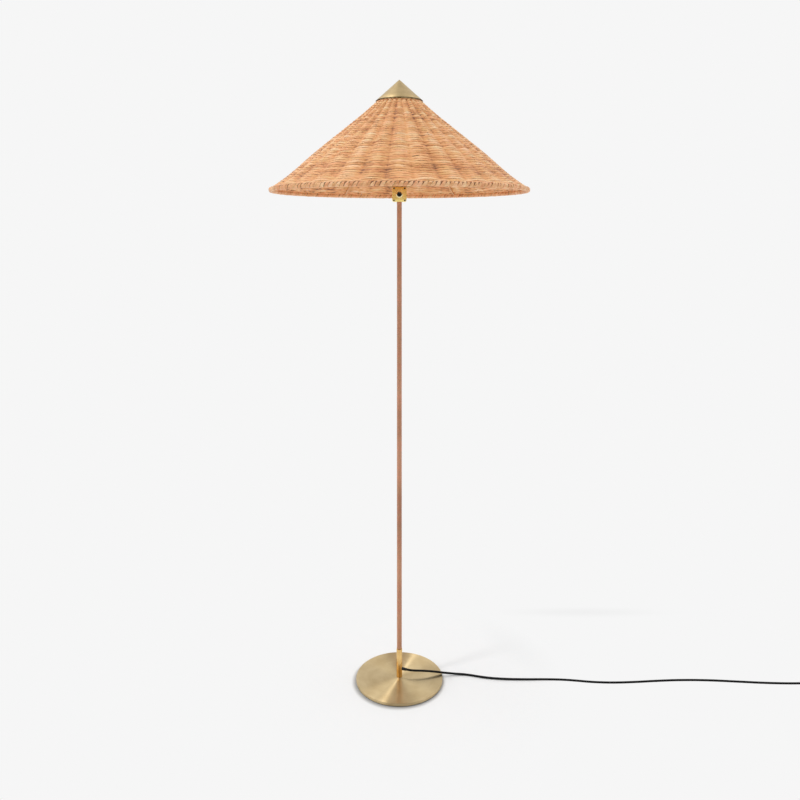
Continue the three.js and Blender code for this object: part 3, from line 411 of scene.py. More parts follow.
def spunBrass(name, light, dark):
    material, tree = startMaterial(name)
    where = add(tree, "TexCoord", out="Object")
    flat = add(tree, "VectorMath", {0: where, 1: (1, 1, 0)}, operation="MULTIPLY")
    radial = add(tree, "VectorMath", {0: flat}, operation="NORMALIZE")
    radius = add(tree, "VectorMath", {0: flat}, out="Value", operation="LENGTH")
    turn = add(tree, "VectorMath", {0: radial, "Scale": spun["ringWaver"] * mm}, operation="SCALE")
    spot = add(tree, "VectorMath", {0: add(tree, "CombineXYZ", {"X": radius}), 1: turn}, operation="ADD")
    lines = add(tree, "TexNoise", {
        "Vector": spot, "Scale": 1 / (spun["ringWidth"] * mm), "Detail": 5.0, "Roughness": 0.7})
    cloud = add(tree, "TexNoise", {"Vector": where, "Scale": 1 / (spun["cloud"] * mm), "Detail": 2.0})
    mixed = add(tree, "Math", {0: lines, 1: 0.6, 2: cloud}, operation="MULTIPLY_ADD")
    colour = add(tree, "ValToRGB", {"Fac": mixed}, stops=[(0.5, dark), (1.05, light)])
    endMaterial(tree, lines, 0.2, spun["depth"], {
        "Base Color": colour, "Metallic": 1.0, "Roughness": spun["roughness"], "Anisotropic": 1.0,
        "Tangent": radial})
    return material


finishes = {  # each with the slot that it fills
    # split and soaked while green, so its skin stays bright: honey with pinker and greener lengths
    "weaver": ("woven_cane", cane("wovenSplitCane", [
        (0.0, "#7c4623"), (0.22, "#d4905a"), (0.5, "#f3b67d"), (0.75, "#fac99a"), (1.0, "#fddcb6")],
        0.5, patchShare=0.32, streakShare=0.42)),
    # flat peel, shaved and pulled tight round the rim: paler and smoother than the weave
    "rim": ("border_cane", cane("flatRimCane", [
        (0.0, "#8a5330"), (0.3, "#d69362"), (0.62, "#efb686"), (1.0, "#fddab5")], 0.45, streakShare=0.4)),
    # whole rods under the weave, only seen in the gaps
    "stake": ("woven_cane", cane("stakeCane", [(0.1, "#9c6239"), (0.9, "#c68c5a")], 0.6)),
    # rough rod under the wrapping, darker than its skin
    "rimCore": ("border_cane", moulded("rimCoreCane", "#8f5f3b", "#6d452a", 0.7, 2.0)),
    # glossy peel wound tight and stained by age: a rosy brown
    "stem": ("stem_cane", cane("stemCane", [
        (0.05, "#96634d"), (0.45, "#c79074"), (0.8, "#d5a085"), (1.0, "#e0b296")], 0.42, streakShare=0.1)),
    # spun on a lathe and left unpolished: soft wedges of light
    "disc": ("base_brass", spunBrass("spunBrass", "#dac499", "#c0a77b")),
    # drawn and polished along its length: long thin highlights
    "foot": ("foot_brass", metal("drawnBrassTube", "#efcb8a", "#dab06c", 0.18, (0.7, 0.7, 17))),
    # buffed and lacquered: warm, with few scratches
    "switch": ("switch_brass", metal("polishedYellowBrass", "#fae393", "#ebcf76", 0.26)),
    # faced on a lathe, so it flashes
    "bezel": ("switch_brass", metal("turnedBrightBrass", "#fbeec0", "#f0dca4", 0.14)),
    # brushed down its slope; its lower edge is darkened with painted shade, for the dark gap under the rim
    "cap": ("cap_brass", metal(
        "brushedPaleBrass", "#c6af84", "#b39c70", 0.42, (1.4, 1.4, 11), 0.03, (1446.4, 1448.3))),
    # thinly plated wire: duller than the box
    "harp": ("harp_brass", metal("platedWireBrass", "#c9ad74", "#a98b55", 0.3)),
    # drawn and spun thin, with rings round it
    "holder": ("holder_brass", metal("pressedBrass", "#d8b470", "#bd954f", 0.24, (5, 5, 0.4))),
    # bare stampings: clean and pale
    "contact": ("contact_brass", metal("contactBrass", "#d9bd84", "#b3935a", 0.28)),
    "zinc": (None, metal("zincPlatedSteel", "#b4b6b8", "#8f9194", 0.38)),
    "bulbMetal": ("bulb_metal", metal("rolledAluminium", "#d2d2d0", "#b3b3b1", 0.3)),
    # dipped in cane-coloured paint, so that it hides in the weave
    "frameWire": ("frame_wire", moulded("caneColouredPaint", "#e3b486", "#d6a273", 0.5, 3.0)),
    # oiled black oxide: dull, nearly no gleam
    "blackSteel": ("black_steel", moulded("blackOxideSteel", "#14110f", "#090807", 0.4, 0.8)),
    # sand-cast, with a coarse skin
    "iron": (None, moulded("castIron", "#4a4947", "#33322f", 0.75, 1.5, 0.2, {"Metallic": 0.7})),
    # pressed fibre: soft and dull
    "felt": ("felt", moulded("denseFelt", "#47413b", "#2b2723", 0.95, 1.0, 0.3, {"Sheen Weight": 0.3})),
    # extruded: smooth, with a soft gleam
    "cord": ("black_cord", moulded(
        "cordSheathPvc", "#0b0a0a", "#050505", 0.55, 4.0, 0.05, {"Specular IOR Level": 0.18})),
    # moulded in fine-textured tools: an even satin
    "rubber": ("black_rubber", moulded("mouldedRubber", "#201e1c", "#121110", 0.55, 0.8)),
    "plastic": ("black_plastic", moulded(
        "mouldedAbs", "#121110", "#090808", 0.42, 0.7, 0.03, {"Specular IOR Level": 0.3})),
    # fired glaze and blown glass: glossy and clean
    "porcelain": ("porcelain", moulded(
        "glazedPorcelain", "#f1eee6", "#e6e2d8", 0.16, 9.0, 0.05, {"Coat Weight": 0.4})),
    "opal": ("opal_glass", moulded("opalGlass", "#fbf8f1", "#f1ede4", 0.22, 25.0, 0.02, {
        "Subsurface Weight": 0.35, "Subsurface Scale": 0.008, "Coat Weight": 0.5})),
    "blueWire": (None, moulded("blueInsulation", "#3b5f88", "#2c4a70", 0.45, 3.0)),
    "brownWire": (None, moulded("brownInsulation", "#6e4c33", "#543824", 0.45, 3.0)),
}
print("materials made:", len(finishes))

camera = {
    "place": (1.6, -1864.5, 1128.3), "sensor": 36, "lens": 33.561, "shiftY": -0.21475, "clip": (0.01, 100),
}
bpy.ops.object.camera_add(location=metres(camera["place"]), rotation=(math.pi / 2, 0, 0))
lens = bpy.context.object
lens.name = "photoCamera"
lens.data.sensor_width, lens.data.lens, lens.data.shift_y = take(camera, "sensor", "lens", "shiftY")
lens.data.clip_start, lens.data.clip_end = camera["clip"]
bpy.context.scene.camera = lens
print("camera set")

freeCord = {
    "diameter": 5.0, "droop": 12.0, "outletHeight": 29.009, "exitReach": 18.666, "straight": 5.0,
    "route": [
        (31, 0.7, 22.6), (40, 1.8, 21.4), (52, 3.4, 20.1), (64, 5.1, 18.6), (76, 6.8, 16.9), (87, 8.4, 15),
        (97, 9.8, 13.1), (107, 11.2, 11), (117, 13, 8.9), (128, 15.2, 6.6), (139, 17, 4.6), (151, 18, 3.2),
        (164, 17.4, 2.6), (180, 14.2, 2.5), (200, 8.6, 2.5), (220, 4, 2.5), (244, 0.4, 2.5), (274, -2, 2.5),
        (320, -3.2, 2.5), (366, -3.2, 2.5), (410, -5, 2.5), (440, -8.6, 2.5), (470, -13, 2.5),
        (500, -15.6, 2.5), (532, -16.4, 2.5), (580, -14.4, 2.5), (640, -9.6, 2.5), (700, -6.4, 2.5),
        (770, -7.4, 2.5), (840, -12.6, 2.5), (900, -17.4, 2.5), (950, -19.6, 2.5), (990, -20, 2.7),
        (1020, -20, 3.2)],
    "coilStart": (1068, -20), "approach": 10.0, "lift": 0.8, "outer": 38.6, "pitch": 5.6, "rise": 5.45,
    "turns": 6.25, "climb": 0.5, "perTurn": 24, "length": 2.235,
}


def outletPoint(reach):
    droop = math.radians(freeCord["droop"])
    return (reach * math.cos(droop), 0, freeCord["outletHeight"] - reach * math.sin(droop))


def coilPoints():  # winds inward along the floor, climbs a cord's height and winds out again on top
    startX, startY = freeCord["coilStart"]
    outer, turns, climb, rise, thick = take(freeCord, "outer", "turns", "climb", "rise", "diameter")
    middle, bottom = startY + outer, thick / 2 + freeCord["lift"]
    points = [(startX - thick, startY, bottom)]
    for i in range(round(turns * freeCord["perTurn"]) + 1):
        done = i / freeCord["perTurn"]
        angle = (done - 0.25) * fullTurn
        climbed = min(max((done - (turns - climb) / 2) / climb, 0), 1)
        radius = outer - min(done, turns - done) * freeCord["pitch"]
        points.append((startX + radius * math.cos(angle), middle + radius * math.sin(angle),
                       bottom + climbed * rise))
    return [*points, (startX + outer, middle + thick, bottom + rise)]


def makeCord():
    coil = coilPoints()
    exitPoint = outletPoint(freeCord["exitReach"])
    straightOut = outletPoint(freeCord["exitReach"] + freeCord["straight"])
    x, y, z = coil[0]
    route = [exitPoint, straightOut, *freeCord["route"], (x - freeCord["approach"], y, z), *coil]
    curve, spline = roundCurve("powerCord", "BEZIER", freeCord["diameter"] / 2, 3)
    curve.resolution_u = 6
    spline.bezier_points.add(len(route) - 1)
    for point, spot in zip(spline.bezier_points, route):
        point.co = Vector(spot) * mm
        point.handle_left_type = point.handle_right_type = "AUTO"
    cord = wear(link("powerCord", curve), "stand", "cord", "cord_run", "cord_coil")
    return cord, exitPoint, coil[-1]


powerCord, cordExit, cordEnd = makeCord()

plug = {
    "length": 34.0, "rearHalf": 7.0, "half": 14.0, "shoulder": 1.2, "flatten": 0.8, "face": 2.5, "sunk": 0.8,
    "round": 1.6, "gap": 0.3, "overlap": 1, "neck": 23.0, "clear": 0.1, "neckRadii": (3.4, 4.6), "ribs": 6,
    "ribSteps": [(0, 0), (0, 0.6), (0.6, 0.66), (0.6, 0.94)], "pinSpacing": 18.6,
    "pin": [(0, 0), (2, 0), (2, 17.4), (1.6, 18.5), (0.9, 19), (0, 19)],
}


def makePlug():
    x, y, z = cordEnd
    long, half, gap, overlap = take(plug, "neck", "half", "gap", "overlap")
    rear, bore = y + gap, freeCord["diameter"] / 2 + plug["clear"]
    bodyRear, bodyFront = rear + long - overlap, rear + long + plug["length"]
    body = slab("plugBody", (x, (bodyRear + bodyFront) / 2, z), (2 * half, bodyFront - bodyRear, 2 * z))
    editAll(body)
    pick(body, "FACE", lambda face: face.normal.y < -0.9)
    bpy.ops.mesh.inset(thickness=plug["shoulder"] * mm)  # a soft shoulder before the neck
    bpy.ops.transform.resize(
        value=(plug["rearHalf"] / half, 1, plug["flatten"]), center_override=metres((x, bodyRear, z)))
    pick(body, "FACE", lambda face: face.normal.y > 0.9)
    bpy.ops.mesh.inset(thickness=plug["face"] * mm)
    pull(y=-plug["sunk"])
    smooth(soften(leaveEdit(body), plug["round"], 4, 20), 50)
    wear(body, "stand", "plastic", "plug_body")
    backward = roll(-math.pi / 2, "X")
    ribs = ribbed(0, long, plug["ribs"], plug["neckRadii"], plug["ribSteps"])
    wide, end = plug["neckRadii"][1], long + overlap
    neck = turned("plugRelief", [(bore, 0), *ribs, (wide, long), (wide, end), (bore, end)], 40)
    wear(place(smooth(neck), shift(x, rear, z) @ backward), "stand", "plastic")
    pins = []
    for number, side in ((1, -0.5), (2, 0.5)):
        pin = smooth(turned(f"plugPin{number}", plug["pin"], 32))
        place(pin, shift(x + side * plug["pinSpacing"], bodyFront + gap, z) @ backward)
        pins.append(wear(pin, "stand", "contact", f"plug_pin_{number}"))
    return [body, neck, *pins]


tie = {"thick": 0.5, "width": 4.0, "round": 1.6, "slack": 0.3, "perCorner": 5}


def makeCoilTie():  # a flat strap round all the turns
    startX, startY = freeCord["coilStart"]
    reach, thick, slack = freeCord["outer"], tie["thick"], tie["slack"]
    spare = freeCord["diameter"] / 2 + slack
    inner, outer = reach - freeCord["turns"] / 2 * freeCord["pitch"] - spare, reach + spare
    top = freeCord["lift"] + freeCord["rise"] + freeCord["diameter"] + slack
    halfX, halfZ = (outer - inner + thick) / 2 - tie["round"], top / 2 - tie["round"]
    rings = []
    for quarter, sideX, sideZ in ((-1, 1, -1), (0, 1, 1), (1, -1, 1), (2, -1, -1)):
        middleY = startY + reach + (inner + outer) / 2 + sideX * halfX
        middleZ = (thick + top) / 2 + sideZ * halfZ
        for i in range(tie["perCorner"]):
            angle = (quarter + i / (tie["perCorner"] - 1)) * math.pi / 2
            ring = []
            for across, out in ((-1, -1), (1, -1), (1, 1), (-1, 1)):
                far = tie["round"] + out * thick / 2
                ring.append((startX - across * tie["width"] / 2, middleY + far * math.cos(angle),
                             middleZ + far * math.sin(angle)))
            rings.append(ring)
    return wear(smooth(loft("coilTie", [(np.array(rings), True, 0.5)]), 40), "stand", "plastic", "coil_tie")


withCord = [*makePlug(), makeCoilTie()]
print("cord laid, plug and tie made")


base = {
    "radius": 107.5, "top": 8.0, "bottom": 1.5, "edge": 1.4, "sheet": 0.8, "hole": 3.9, "ease": 0.3,
    "ringShares": (0.05, 0.2, 0.4, 0.6, 0.8), "padRadius": 104.0, "pad": 1.2,
}


def makeBase():
    radius, top, bottom, edge, hole, ease = take(base, "radius", "top", "bottom", "edge", "hole", "ease")
    inside, under = radius - base["sheet"], top - base["sheet"]
    flat = [(hole + share * (radius - edge - hole), top) for share in base["ringShares"]]
    disc = turned("baseDisc", [
        (hole, under), (hole, top), *flat, *curved(radius - edge, top - edge, edge, edge, 6),
        (radius, bottom + ease), (radius - ease, bottom), (inside, bottom), (inside, under)], 256)
    wear(smooth(disc, 40), "stand", "disc", "base_cover")
    wide, tall = base["padRadius"], base["pad"]
    pad = turned("feltPad", [
        (0, 0), (wide - ease, 0), (wide, ease), (wide, tall - ease), (wide - ease, tall), (0, tall)], 160)
    wear(smooth(pad), "stand", "felt", "base_pad")


foot = {
    "radius": 7.1, "bore": 5.3, "bottom": 8.3, "height": 69.7, "chamfer": 0.8, "ease": 0.3, "bulge": 0.25,
    "hole": 3.6, "drillDepth": 16,
}
relief = {
    "start": 8.366, "neck": 3.3, "neckLength": 3.0, "head": 3.8, "headLength": 1.4, "length": 10.0,
    "radii": (3.6, 3.1), "tip": 2.8, "bore": 2.8, "ribs": 3,
    "ribSteps": [(0.4, 0.042), (0.4, 0.3), (0, 0.38), (0, 0.95)],
}


def onOutlet(piece, reach):  # turns a piece drawn up +Z onto the outlet's drooping line
    droop = math.radians(freeCord["droop"])
    return place(piece, shift(*outletPoint(reach)) @ roll(math.pi / 2 + droop, "Y"))


def makeFoot():
    radius, bore, tall, chamfer = take(foot, "radius", "bore", "height", "chamfer")
    ease, bulge = foot["ease"], foot["bulge"]
    tube = turned("footTube", [
        (bore, 0), (radius - ease, 0), (radius, ease), (radius, tall - chamfer),
        (radius - bulge, tall - bulge), (radius - chamfer, tall), (bore, tall)], 96, foot["bottom"])
    cutWith(tube, onOutlet(rod("drill", foot["hole"], 0, foot["drillDepth"]), 0))
    wear(smooth(tube, 30), "stand", "foot", "foot_tube")
    bore, neck, head, start, long = take(relief, "bore", "neck", "head", "headLength", "length")
    ribs = ribbed(start, long, relief["ribs"], relief["radii"], relief["ribSteps"], 0.5)
    rear = -relief["neckLength"]
    sleeve = turned("cordRelief", [
        (bore, rear), (neck, rear), (neck, 0), (head, 0), (head, start), *ribs, (relief["tip"], long),
        (bore, long)], 48)
    wear(onOutlet(smooth(sleeve, 40), relief["start"]), "stand", "rubber", "cord_relief")


makeBase()
makeFoot()
print("base, foot and relief made")


stem = {
    "bottom": 78.3, "top": 1193.8, "inner": 5.32, "thick": 0.84, "width": 4.7, "pitch": 5.0, "perTurn": 20,
    "waver": [(0.025, 0.27, 0), (0.02, 0.097, 1)], "tone": 0.48, "toneSpread": 0.11, "toneRun": 9,
    "endWidth": 5.4, "endProud": 0.12, "endPoints": 48,
}
stripShape = [(-1, -1), (1, -1), (1, 0.45), (0.55, 1), (-0.55, 1), (-1, 0.45)]  # flat cane, its skin outward


def caneTurns(angle, height, width, proud):  # strip wound round the stem, wavering a little
    waver = sum(size * np.sin(angle * rate + start) for size, rate, start in stem["waver"])
    middle = stem["inner"] + stem["thick"] / 2 + proud + waver
    return np.stack([polar(middle + out * stem["thick"] / 2, angle, height + up * width / 2)
                     for up, out in stripShape], axis=1)


def makeStemCane():
    low, high, width, pitch, toneRun = take(stem, "bottom", "top", "width", "pitch", "toneRun")
    turns = (high - low - width) / pitch
    done = np.arange(round(turns * stem["perTurn"]) + 1) / stem["perTurn"]
    knots = draw.normal(stem["tone"], stem["toneSpread"], int(turns / toneRun) + 3)
    tone = np.interp(done / toneRun, np.arange(len(knots)), knots)
    strands = [(caneTurns(done * fullTurn, low + width / 2 + done * pitch, width, 0), False, tone)]
    for middle in (low + stem["endWidth"] / 2, high - stem["endWidth"] / 2):
        binding = caneTurns(around(stem["endPoints"]), middle, stem["endWidth"], stem["endProud"])
        strands.append((binding, True, 0.5))
    wear(loft("stemCane", strands), "stand", "stem", "lower_binding", "stem_wrap", "upper_binding")


makeStemCane()
print("stem wrapped")


box = {
    "middle": 1212.3, "halfWidth": 17.6, "halfHeight": 18.2, "bulge": 0.5, "crown": 0.45, "front": -13.0,
    "back": 13.0, "plate": 1.4, "gap": 0.3, "wall": 1.2, "corner": 4.2, "holeRadius": 6.8, "pipeHole": 5.3,
    "pipe": (1180, 1245), "cuts": 9, "buttonOut": 13.6, "screwX": 13.4, "screwY": 15.0,
    "slotHeight": 0.9, "slot": (2.4, 0.45, 0.9), "slotTurn": 0.4, "holeDepth": (5, 20), "shellEase": 0.5,
    "plateEase": 0.4,
    "bezel": [(5.5, -1.4), (6.5, -1.4), (6.5, 0), (7.9, 0), (8, 0.1), (7.9, 0.2), (6.4, 1.3), (6.2, 1.35),
              (6, 1.3), (5.6, 0.9), (5.5, 0.7)],
    "button": [(0, -4.6), (2.2, -4.6), (2.2, 0), (4.95, 0), (5.15, 0.2), (5.15, 2.6), (4.9, 3.1),
               (4.3, 3.4), (3.4, 3.35), (2.4, 3.15), (1.2, 3.0), (0, 2.95)],
    "screw": [(0, -8), (1.2, -8), (1.2, 0), (2.1, 0), (2.1, 0.35), (1.75, 0.8), (1.1, 1.0), (0, 1.05)],
}


def roundedBlock(name, front, back, crown=0):  # square in front, its corners round and its sides swollen
    middle, halfWidth, halfHeight, corner = take(box, "middle", "halfWidth", "halfHeight", "corner")
    block = slab(name, (0, (front + back) / 2, middle), (2 * halfWidth, back - front, 2 * halfHeight))
    editAll(block)
    points = block.data.vertices
    deep = 0.9 * (back - front) * mm  # only the edges from front to back are as long
    pick(block, "EDGE", lambda e: abs(points[e.vertices[0]].co.y - points[e.vertices[1]].co.y) > deep)
    bpy.ops.mesh.bevel(offset=corner * mm, segments=8, affect="EDGES")
    for i in range(box["cuts"]):
        cut = ((i + 0.5) / box["cuts"] * 2 - 1) * (halfHeight - corner)
        for spot, normal in (((0, 0, middle + cut), (0, 0, 1)), ((cut, 0, 0), (1, 0, 0))):
            bpy.ops.mesh.select_all(action="SELECT")
            bpy.ops.mesh.bisect(plane_co=metres(spot), plane_no=normal)
    leaveEdit()
    for point in block.data.vertices:
        up, side = (point.co.z / mm - middle) / halfHeight, point.co.x / mm / halfWidth
        if point.co.y / mm < front + 0.01:  # on the front face
            point.co.y -= crown * mm * max(1 - up ** 2, 0) * max(1 - side ** 2, 0)
        point.co.x *= 1 + box["bulge"] / halfWidth * max(1 - up ** 2, 0)
    return block


def facingFront(piece, x=0, y=0, out=0):  # turns a piece drawn up +Z to point out of the box's front
    return place(piece, shift(z=box["middle"]) @ roll(math.pi / 2, "X") @ shift(x, y, out))


def makeSwitchBox():
    plateBack, front = box["front"] + box["plate"], box["gap"] - box["front"]
    shell = roundedBlock("switchHousing", plateBack + box["gap"], box["back"])
    editAll(shell)
    pick(shell, "FACE", lambda face: face.normal.y < -0.9)
    bpy.ops.mesh.delete(type="FACE")
    modify(shell, "SOLIDIFY", thickness=box["wall"] * mm, offset=-1, use_even_offset=True)
    cutWith(shell, rod("tool", box["pipeHole"], *box["pipe"]))
    plateFront = box["front"] + box["crown"] / 2
    plate = roundedBlock("switchPlate", plateFront, plateBack, box["crown"])
    cutWith(plate, facingFront(rod("tool", box["holeRadius"], *box["holeDepth"])))
    wear(smooth(soften(shell, box["shellEase"], 3, 50), 40), "stand", "switch", "switch_housing")
    wear(smooth(soften(plate, box["plateEase"], 3, 50), 40), "stand", "switch", "switch_faceplate")
    bezel = smooth(turned("switchBezel", box["bezel"], 80), 50)
    wear(facingFront(bezel, out=front), "stand", "bezel", "switch_bezel")
    button = smooth(turned("pushButton", box["button"], 64), 50)
    wear(facingFront(button, out=box["buttonOut"]), "button", "plastic", "switch_button")
    places = [(x, y) for x in (-box["screwX"], box["screwX"]) for y in (-box["screwY"], box["screwY"])]
    for number, (x, y) in enumerate(places, 1):
        screw = turned(f"plateScrew{number}", box["screw"], 40)
        for turn in (0, math.pi / 2):  # crossed slots
            turn += box["slotTurn"] * number
            cutWith(screw, slab("slotTool", (0, 0, box["slotHeight"]), box["slot"], turn))
        facingFront(smooth(screw), x, y, front)
        wear(screw, "stand", "blackSteel", f"faceplate_screw_{number}")


makeSwitchBox()
print("switch box made")


harp = {
    "span": 25.0, "saddleBottom": 1230.8, "saddle": 2.0, "width": 3.2, "ends": 9.2, "boss": 10.0,
    "bore": 5.3, "ease": 0.35, "overrun": 2, "wireBottom": 1240.3, "wire": 2.0, "straight": 20.0,
    "straightShares": (0, 0.3, 0.6, 0.85, 1), "height": 189.7, "halfWidth": 58.0,
    "shares": [(0.55, 0.2), (0.83, 0.38), (1, 0.6), (0.86, 0.84), (0.48, 0.97)],
    "sleeveBottom": 1233.1, "sleeve": 14.0, "sleeveRadius": 3.4, "sleeveBore": 2.3, "sleeveBand": 1.0,
    "sleeveStep": (0.25, 0.4), "sleeveEase": 0.15, "studBottom": 1432.3, "thread": (3, 0.25, 4.9, 0.5, 23),
    "studFoot": [(0, 0), (6.3, 0), (6.5, 0.3), (6.5, 1.7), (6.3, 2), (2.85, 2), (2.85, 4.6)],
    "studTip": [(2.6, 16.6), (0, 16.6)],
}


def makeHarp():
    low, thick, out, over = harp["saddleBottom"], harp["saddle"], harp["span"] + 1, harp["overrun"]
    saddle = slab("harpSaddle", (0, 0, low + thick / 2), (2 * out, harp["width"], thick))
    for side in (-1, 1):
        editAll(saddle)
        bpy.ops.mesh.bisect(plane_co=(side * (out - thick) * mm, 0, 0), plane_no=(1, 0, 0))
        pick(saddle, "FACE", lambda f: f.normal.z > 0.9 and side * f.center.x > (out - thick) * mm)
        pull(z=harp["ends"] - thick)
    leaveEdit()
    cutWith(saddle, rod("bossTool", harp["boss"], low, low + thick, 64), "UNION")
    cutWith(saddle, rod("tool", harp["bore"], low - over, low + thick + over))
    wear(smooth(soften(saddle, harp["ease"], 2, 40), 40), "stand", "harp", "harp_saddle")
    wide, bore, tall, band = take(harp, "sleeveRadius", "sleeveBore", "sleeve", "sleeveBand")
    step, slope = harp["sleeveStep"]
    waist = [(wide - step, band + slope), (wide - step, tall - band - slope)]
    profile = [(bore, 0), (wide, 0), (wide, band), *waist, (wide, tall - band), (wide, tall), (bore, tall)]
    for name, node, side in (("leftSleeve", "left_sleeve", -1), ("rightSleeve", "right_sleeve", 1)):
        sleeve = smooth(soften(turned(name, profile, 48, harp["sleeveBottom"]), harp["sleeveEase"], 2), 40)
        wear(place(sleeve, shift(side * harp["span"])), node, "harp", node)
    right = [(harp["span"], share * harp["straight"]) for share in harp["straightShares"]]
    right += [(w * harp["halfWidth"], h * harp["height"]) for w, h in harp["shares"]]
    outline = [*right, (0, harp["height"]), *[(-x, z) for x, z in reversed(right)]]
    line = smoothLine([(x, 0, z + harp["wireBottom"]) for x, z in outline], 8)
    wear(wirePiece("harpWire", line, harp["wire"], 4), "stand", "harp", "harp")
    stud = [*harp["studFoot"], *zigzag(*harp["thread"]), *harp["studTip"]]
    wear(smooth(turned("harpStud", stud, 48, harp["studBottom"]), 40), "stand", "harp", "harp_stud")


holder = {
    "bottom": 1233.1, "radius": 19.5, "bore": 5.3, "wall": 0.8, "cap": 15, "neck": 8, "neckEase": 0.4,
    "neckHeight": 4, "dome": 7, "domeInset": (0.5, 0.6), "groove": [(0, 13.6), (-0.25, 14), (0, 14.4)],
    "shellBottom": 1248.4, "shell": 35.0, "lip": 2.6, "beads": (6, 9, 26),
    "beadSteps": [(0, -0.7), (-0.3, -0.3), (-0.3, 0.3), (0, 0.7)],
    "insert": [(2.6, 0), (18.4, 0), (18.4, 6), (16.1, 7.8), (16.1, 27.4), (15.7, 28), (14.6, 28),
               (14.3, 27.7), (14.3, 6), (2.6, 6)],
    "insertEase": 0.2, "thread": (1254.7, 1.1, 21), "threadRadius": 14, "threadWall": 0.5,
    "threadDepth": 0.12,
}


def makeHolder():
    wide, bore, wall, tall, neck = take(holder, "radius", "bore", "wall", "cap", "neck")
    ease, rise, domeHeight = take(holder, "neckEase", "neckHeight", "dome")
    dome = curved(neck, rise + domeHeight, wide - neck, -domeHeight, 8)
    inset, lift = (share * wall for share in holder["domeInset"])
    inner = [*[(r - inset, h + lift) for r, h in dome[:-1]], (wide - wall, dome[-1][1] + lift)]
    groove = [(wide + r, h) for r, h in holder["groove"]]
    cap = turned("holderCap", [
        (bore, 0), (neck - ease, 0), (neck, ease), *dome, *groove, (wide, tall), (wide - wall, tall),
        *reversed(inner), (bore, rise + wall)], 80, holder["bottom"])
    wear(smooth(cap, 40), "stand", "holder", "holder_cap")
    low, tall, lip = take(holder, "shellBottom", "shell", "lip")
    beads = [(wide + r, at + h) for at in holder["beads"] for r, h in holder["beadSteps"]]
    shell = turned("holderShell", [
        (wide - wall, 0), (wide, 0), *beads, *reversed(curved(wide - lip, tall - lip, lip, lip, 6)),
        (wide - lip - wall, tall), (wide - wall, tall - lip - wall)], 80, low)
    wear(smooth(shell, 40), "stand", "holder", "holder_shell")
    insert = soften(turned("holderInsert", holder["insert"], 64, low), holder["insertEase"], 2, 40)
    wear(smooth(insert), "stand", "porcelain", "holder_insert")
    radius, depth = holder["threadRadius"], holder["threadDepth"]
    inside = zigzag(radius - holder["threadWall"], -depth, *holder["thread"])
    thread = [*zigzag(radius, depth, *holder["thread"]), *reversed(inside)]
    wear(smooth(turned("threadShell", thread, 64), 60), "stand", "contact", "thread_shell")


bulb = {
    "capBottom": 1256.2, "foot": [(0, 0), (4.2, 0), (4.6, 0.4), (4.6, 1.2), (9.5, 3.2), (12.9, 5)],
    "thread": (13.2, 0.35, 6.2, 1.15, 14),
    "collar": [(13.2, 22.5), (13.2, 25), (12.7, 25), (12.7, 12), (0, 12)],
    "glass": 1268.5, "height": 94.0, "radius": 30.0, "neck": 12.4, "neckHeight": 13, "wall": 1.0,
    "shares": [(0.47, 0.2), (0.82, 0.42), (1, 0.66), (0.9, 0.85), (0.52, 0.97)],
}


def makeBulb():
    profile = [*bulb["foot"], *zigzag(*bulb["thread"]), *bulb["collar"]]
    wear(smooth(turned("bulbCap", profile, 64, bulb["capBottom"]), 60), "bulb", "bulbMetal", "bulb_cap")
    tall, neck, wall = take(bulb, "height", "neck", "wall")
    swell = [(a * bulb["radius"], b * tall) for a, b in bulb["shares"]]
    line = smoothLine([(neck, 0), (neck, bulb["neckHeight"]), *swell, (0, tall)], 6)
    line = [(max(r, 0), h) for r, h in line]
    inner = [(max(r - wall, 0), h - wall if h > 1 else h) for r, h in reversed(line)]
    wear(smooth(turned("bulbGlass", [*line, *inner], 80, bulb["glass"]), 60), "bulb", "opal", "bulb_glass")


makeHarp()
makeHolder()
makeBulb()
print("harp, lampholder and bulb made")


shade = {
    "topRadius": 54.1, "bottomRadius": 314.4, "bottom": 1228.3, "height": 218.7,
    "shares": [(1, 0), (0.838, 0.143), (0.61, 0.385), (0.392, 0.6), (0.158, 0.83), (0, 1)],
    "rimRadius": 316.9, "rimHeight": 1221.5,
}

coneLine = np.array(smoothLine([(shade["topRadius"] + r * (shade["bottomRadius"] - shade["topRadius"]),
                                 shade["bottom"] + h * shade["height"]) for r, h in shade["shares"]], 24))
coneRun = runAlong(coneLine)
coneSlope = np.gradient(coneLine, coneRun, axis=0)
coneLength = coneRun[-1]


def coneRadius(run):
    return np.interp(run, coneRun, coneLine[:, 0])


def onCone(run, depth, angle):  # run up the slope from the rim, depth outward, angle round the axis
    tangentR, tangentZ = (np.interp(run, coneRun, coneSlope[:, k]) for k in (0, 1))
    past = np.maximum(run - coneLength, 0) + np.minimum(run, 0)
    height = np.interp(run, coneRun, coneLine[:, 1]) + past * tangentZ - depth * tangentR
    return polar(coneRadius(run) + past * tangentR + depth * tangentZ, angle, height)


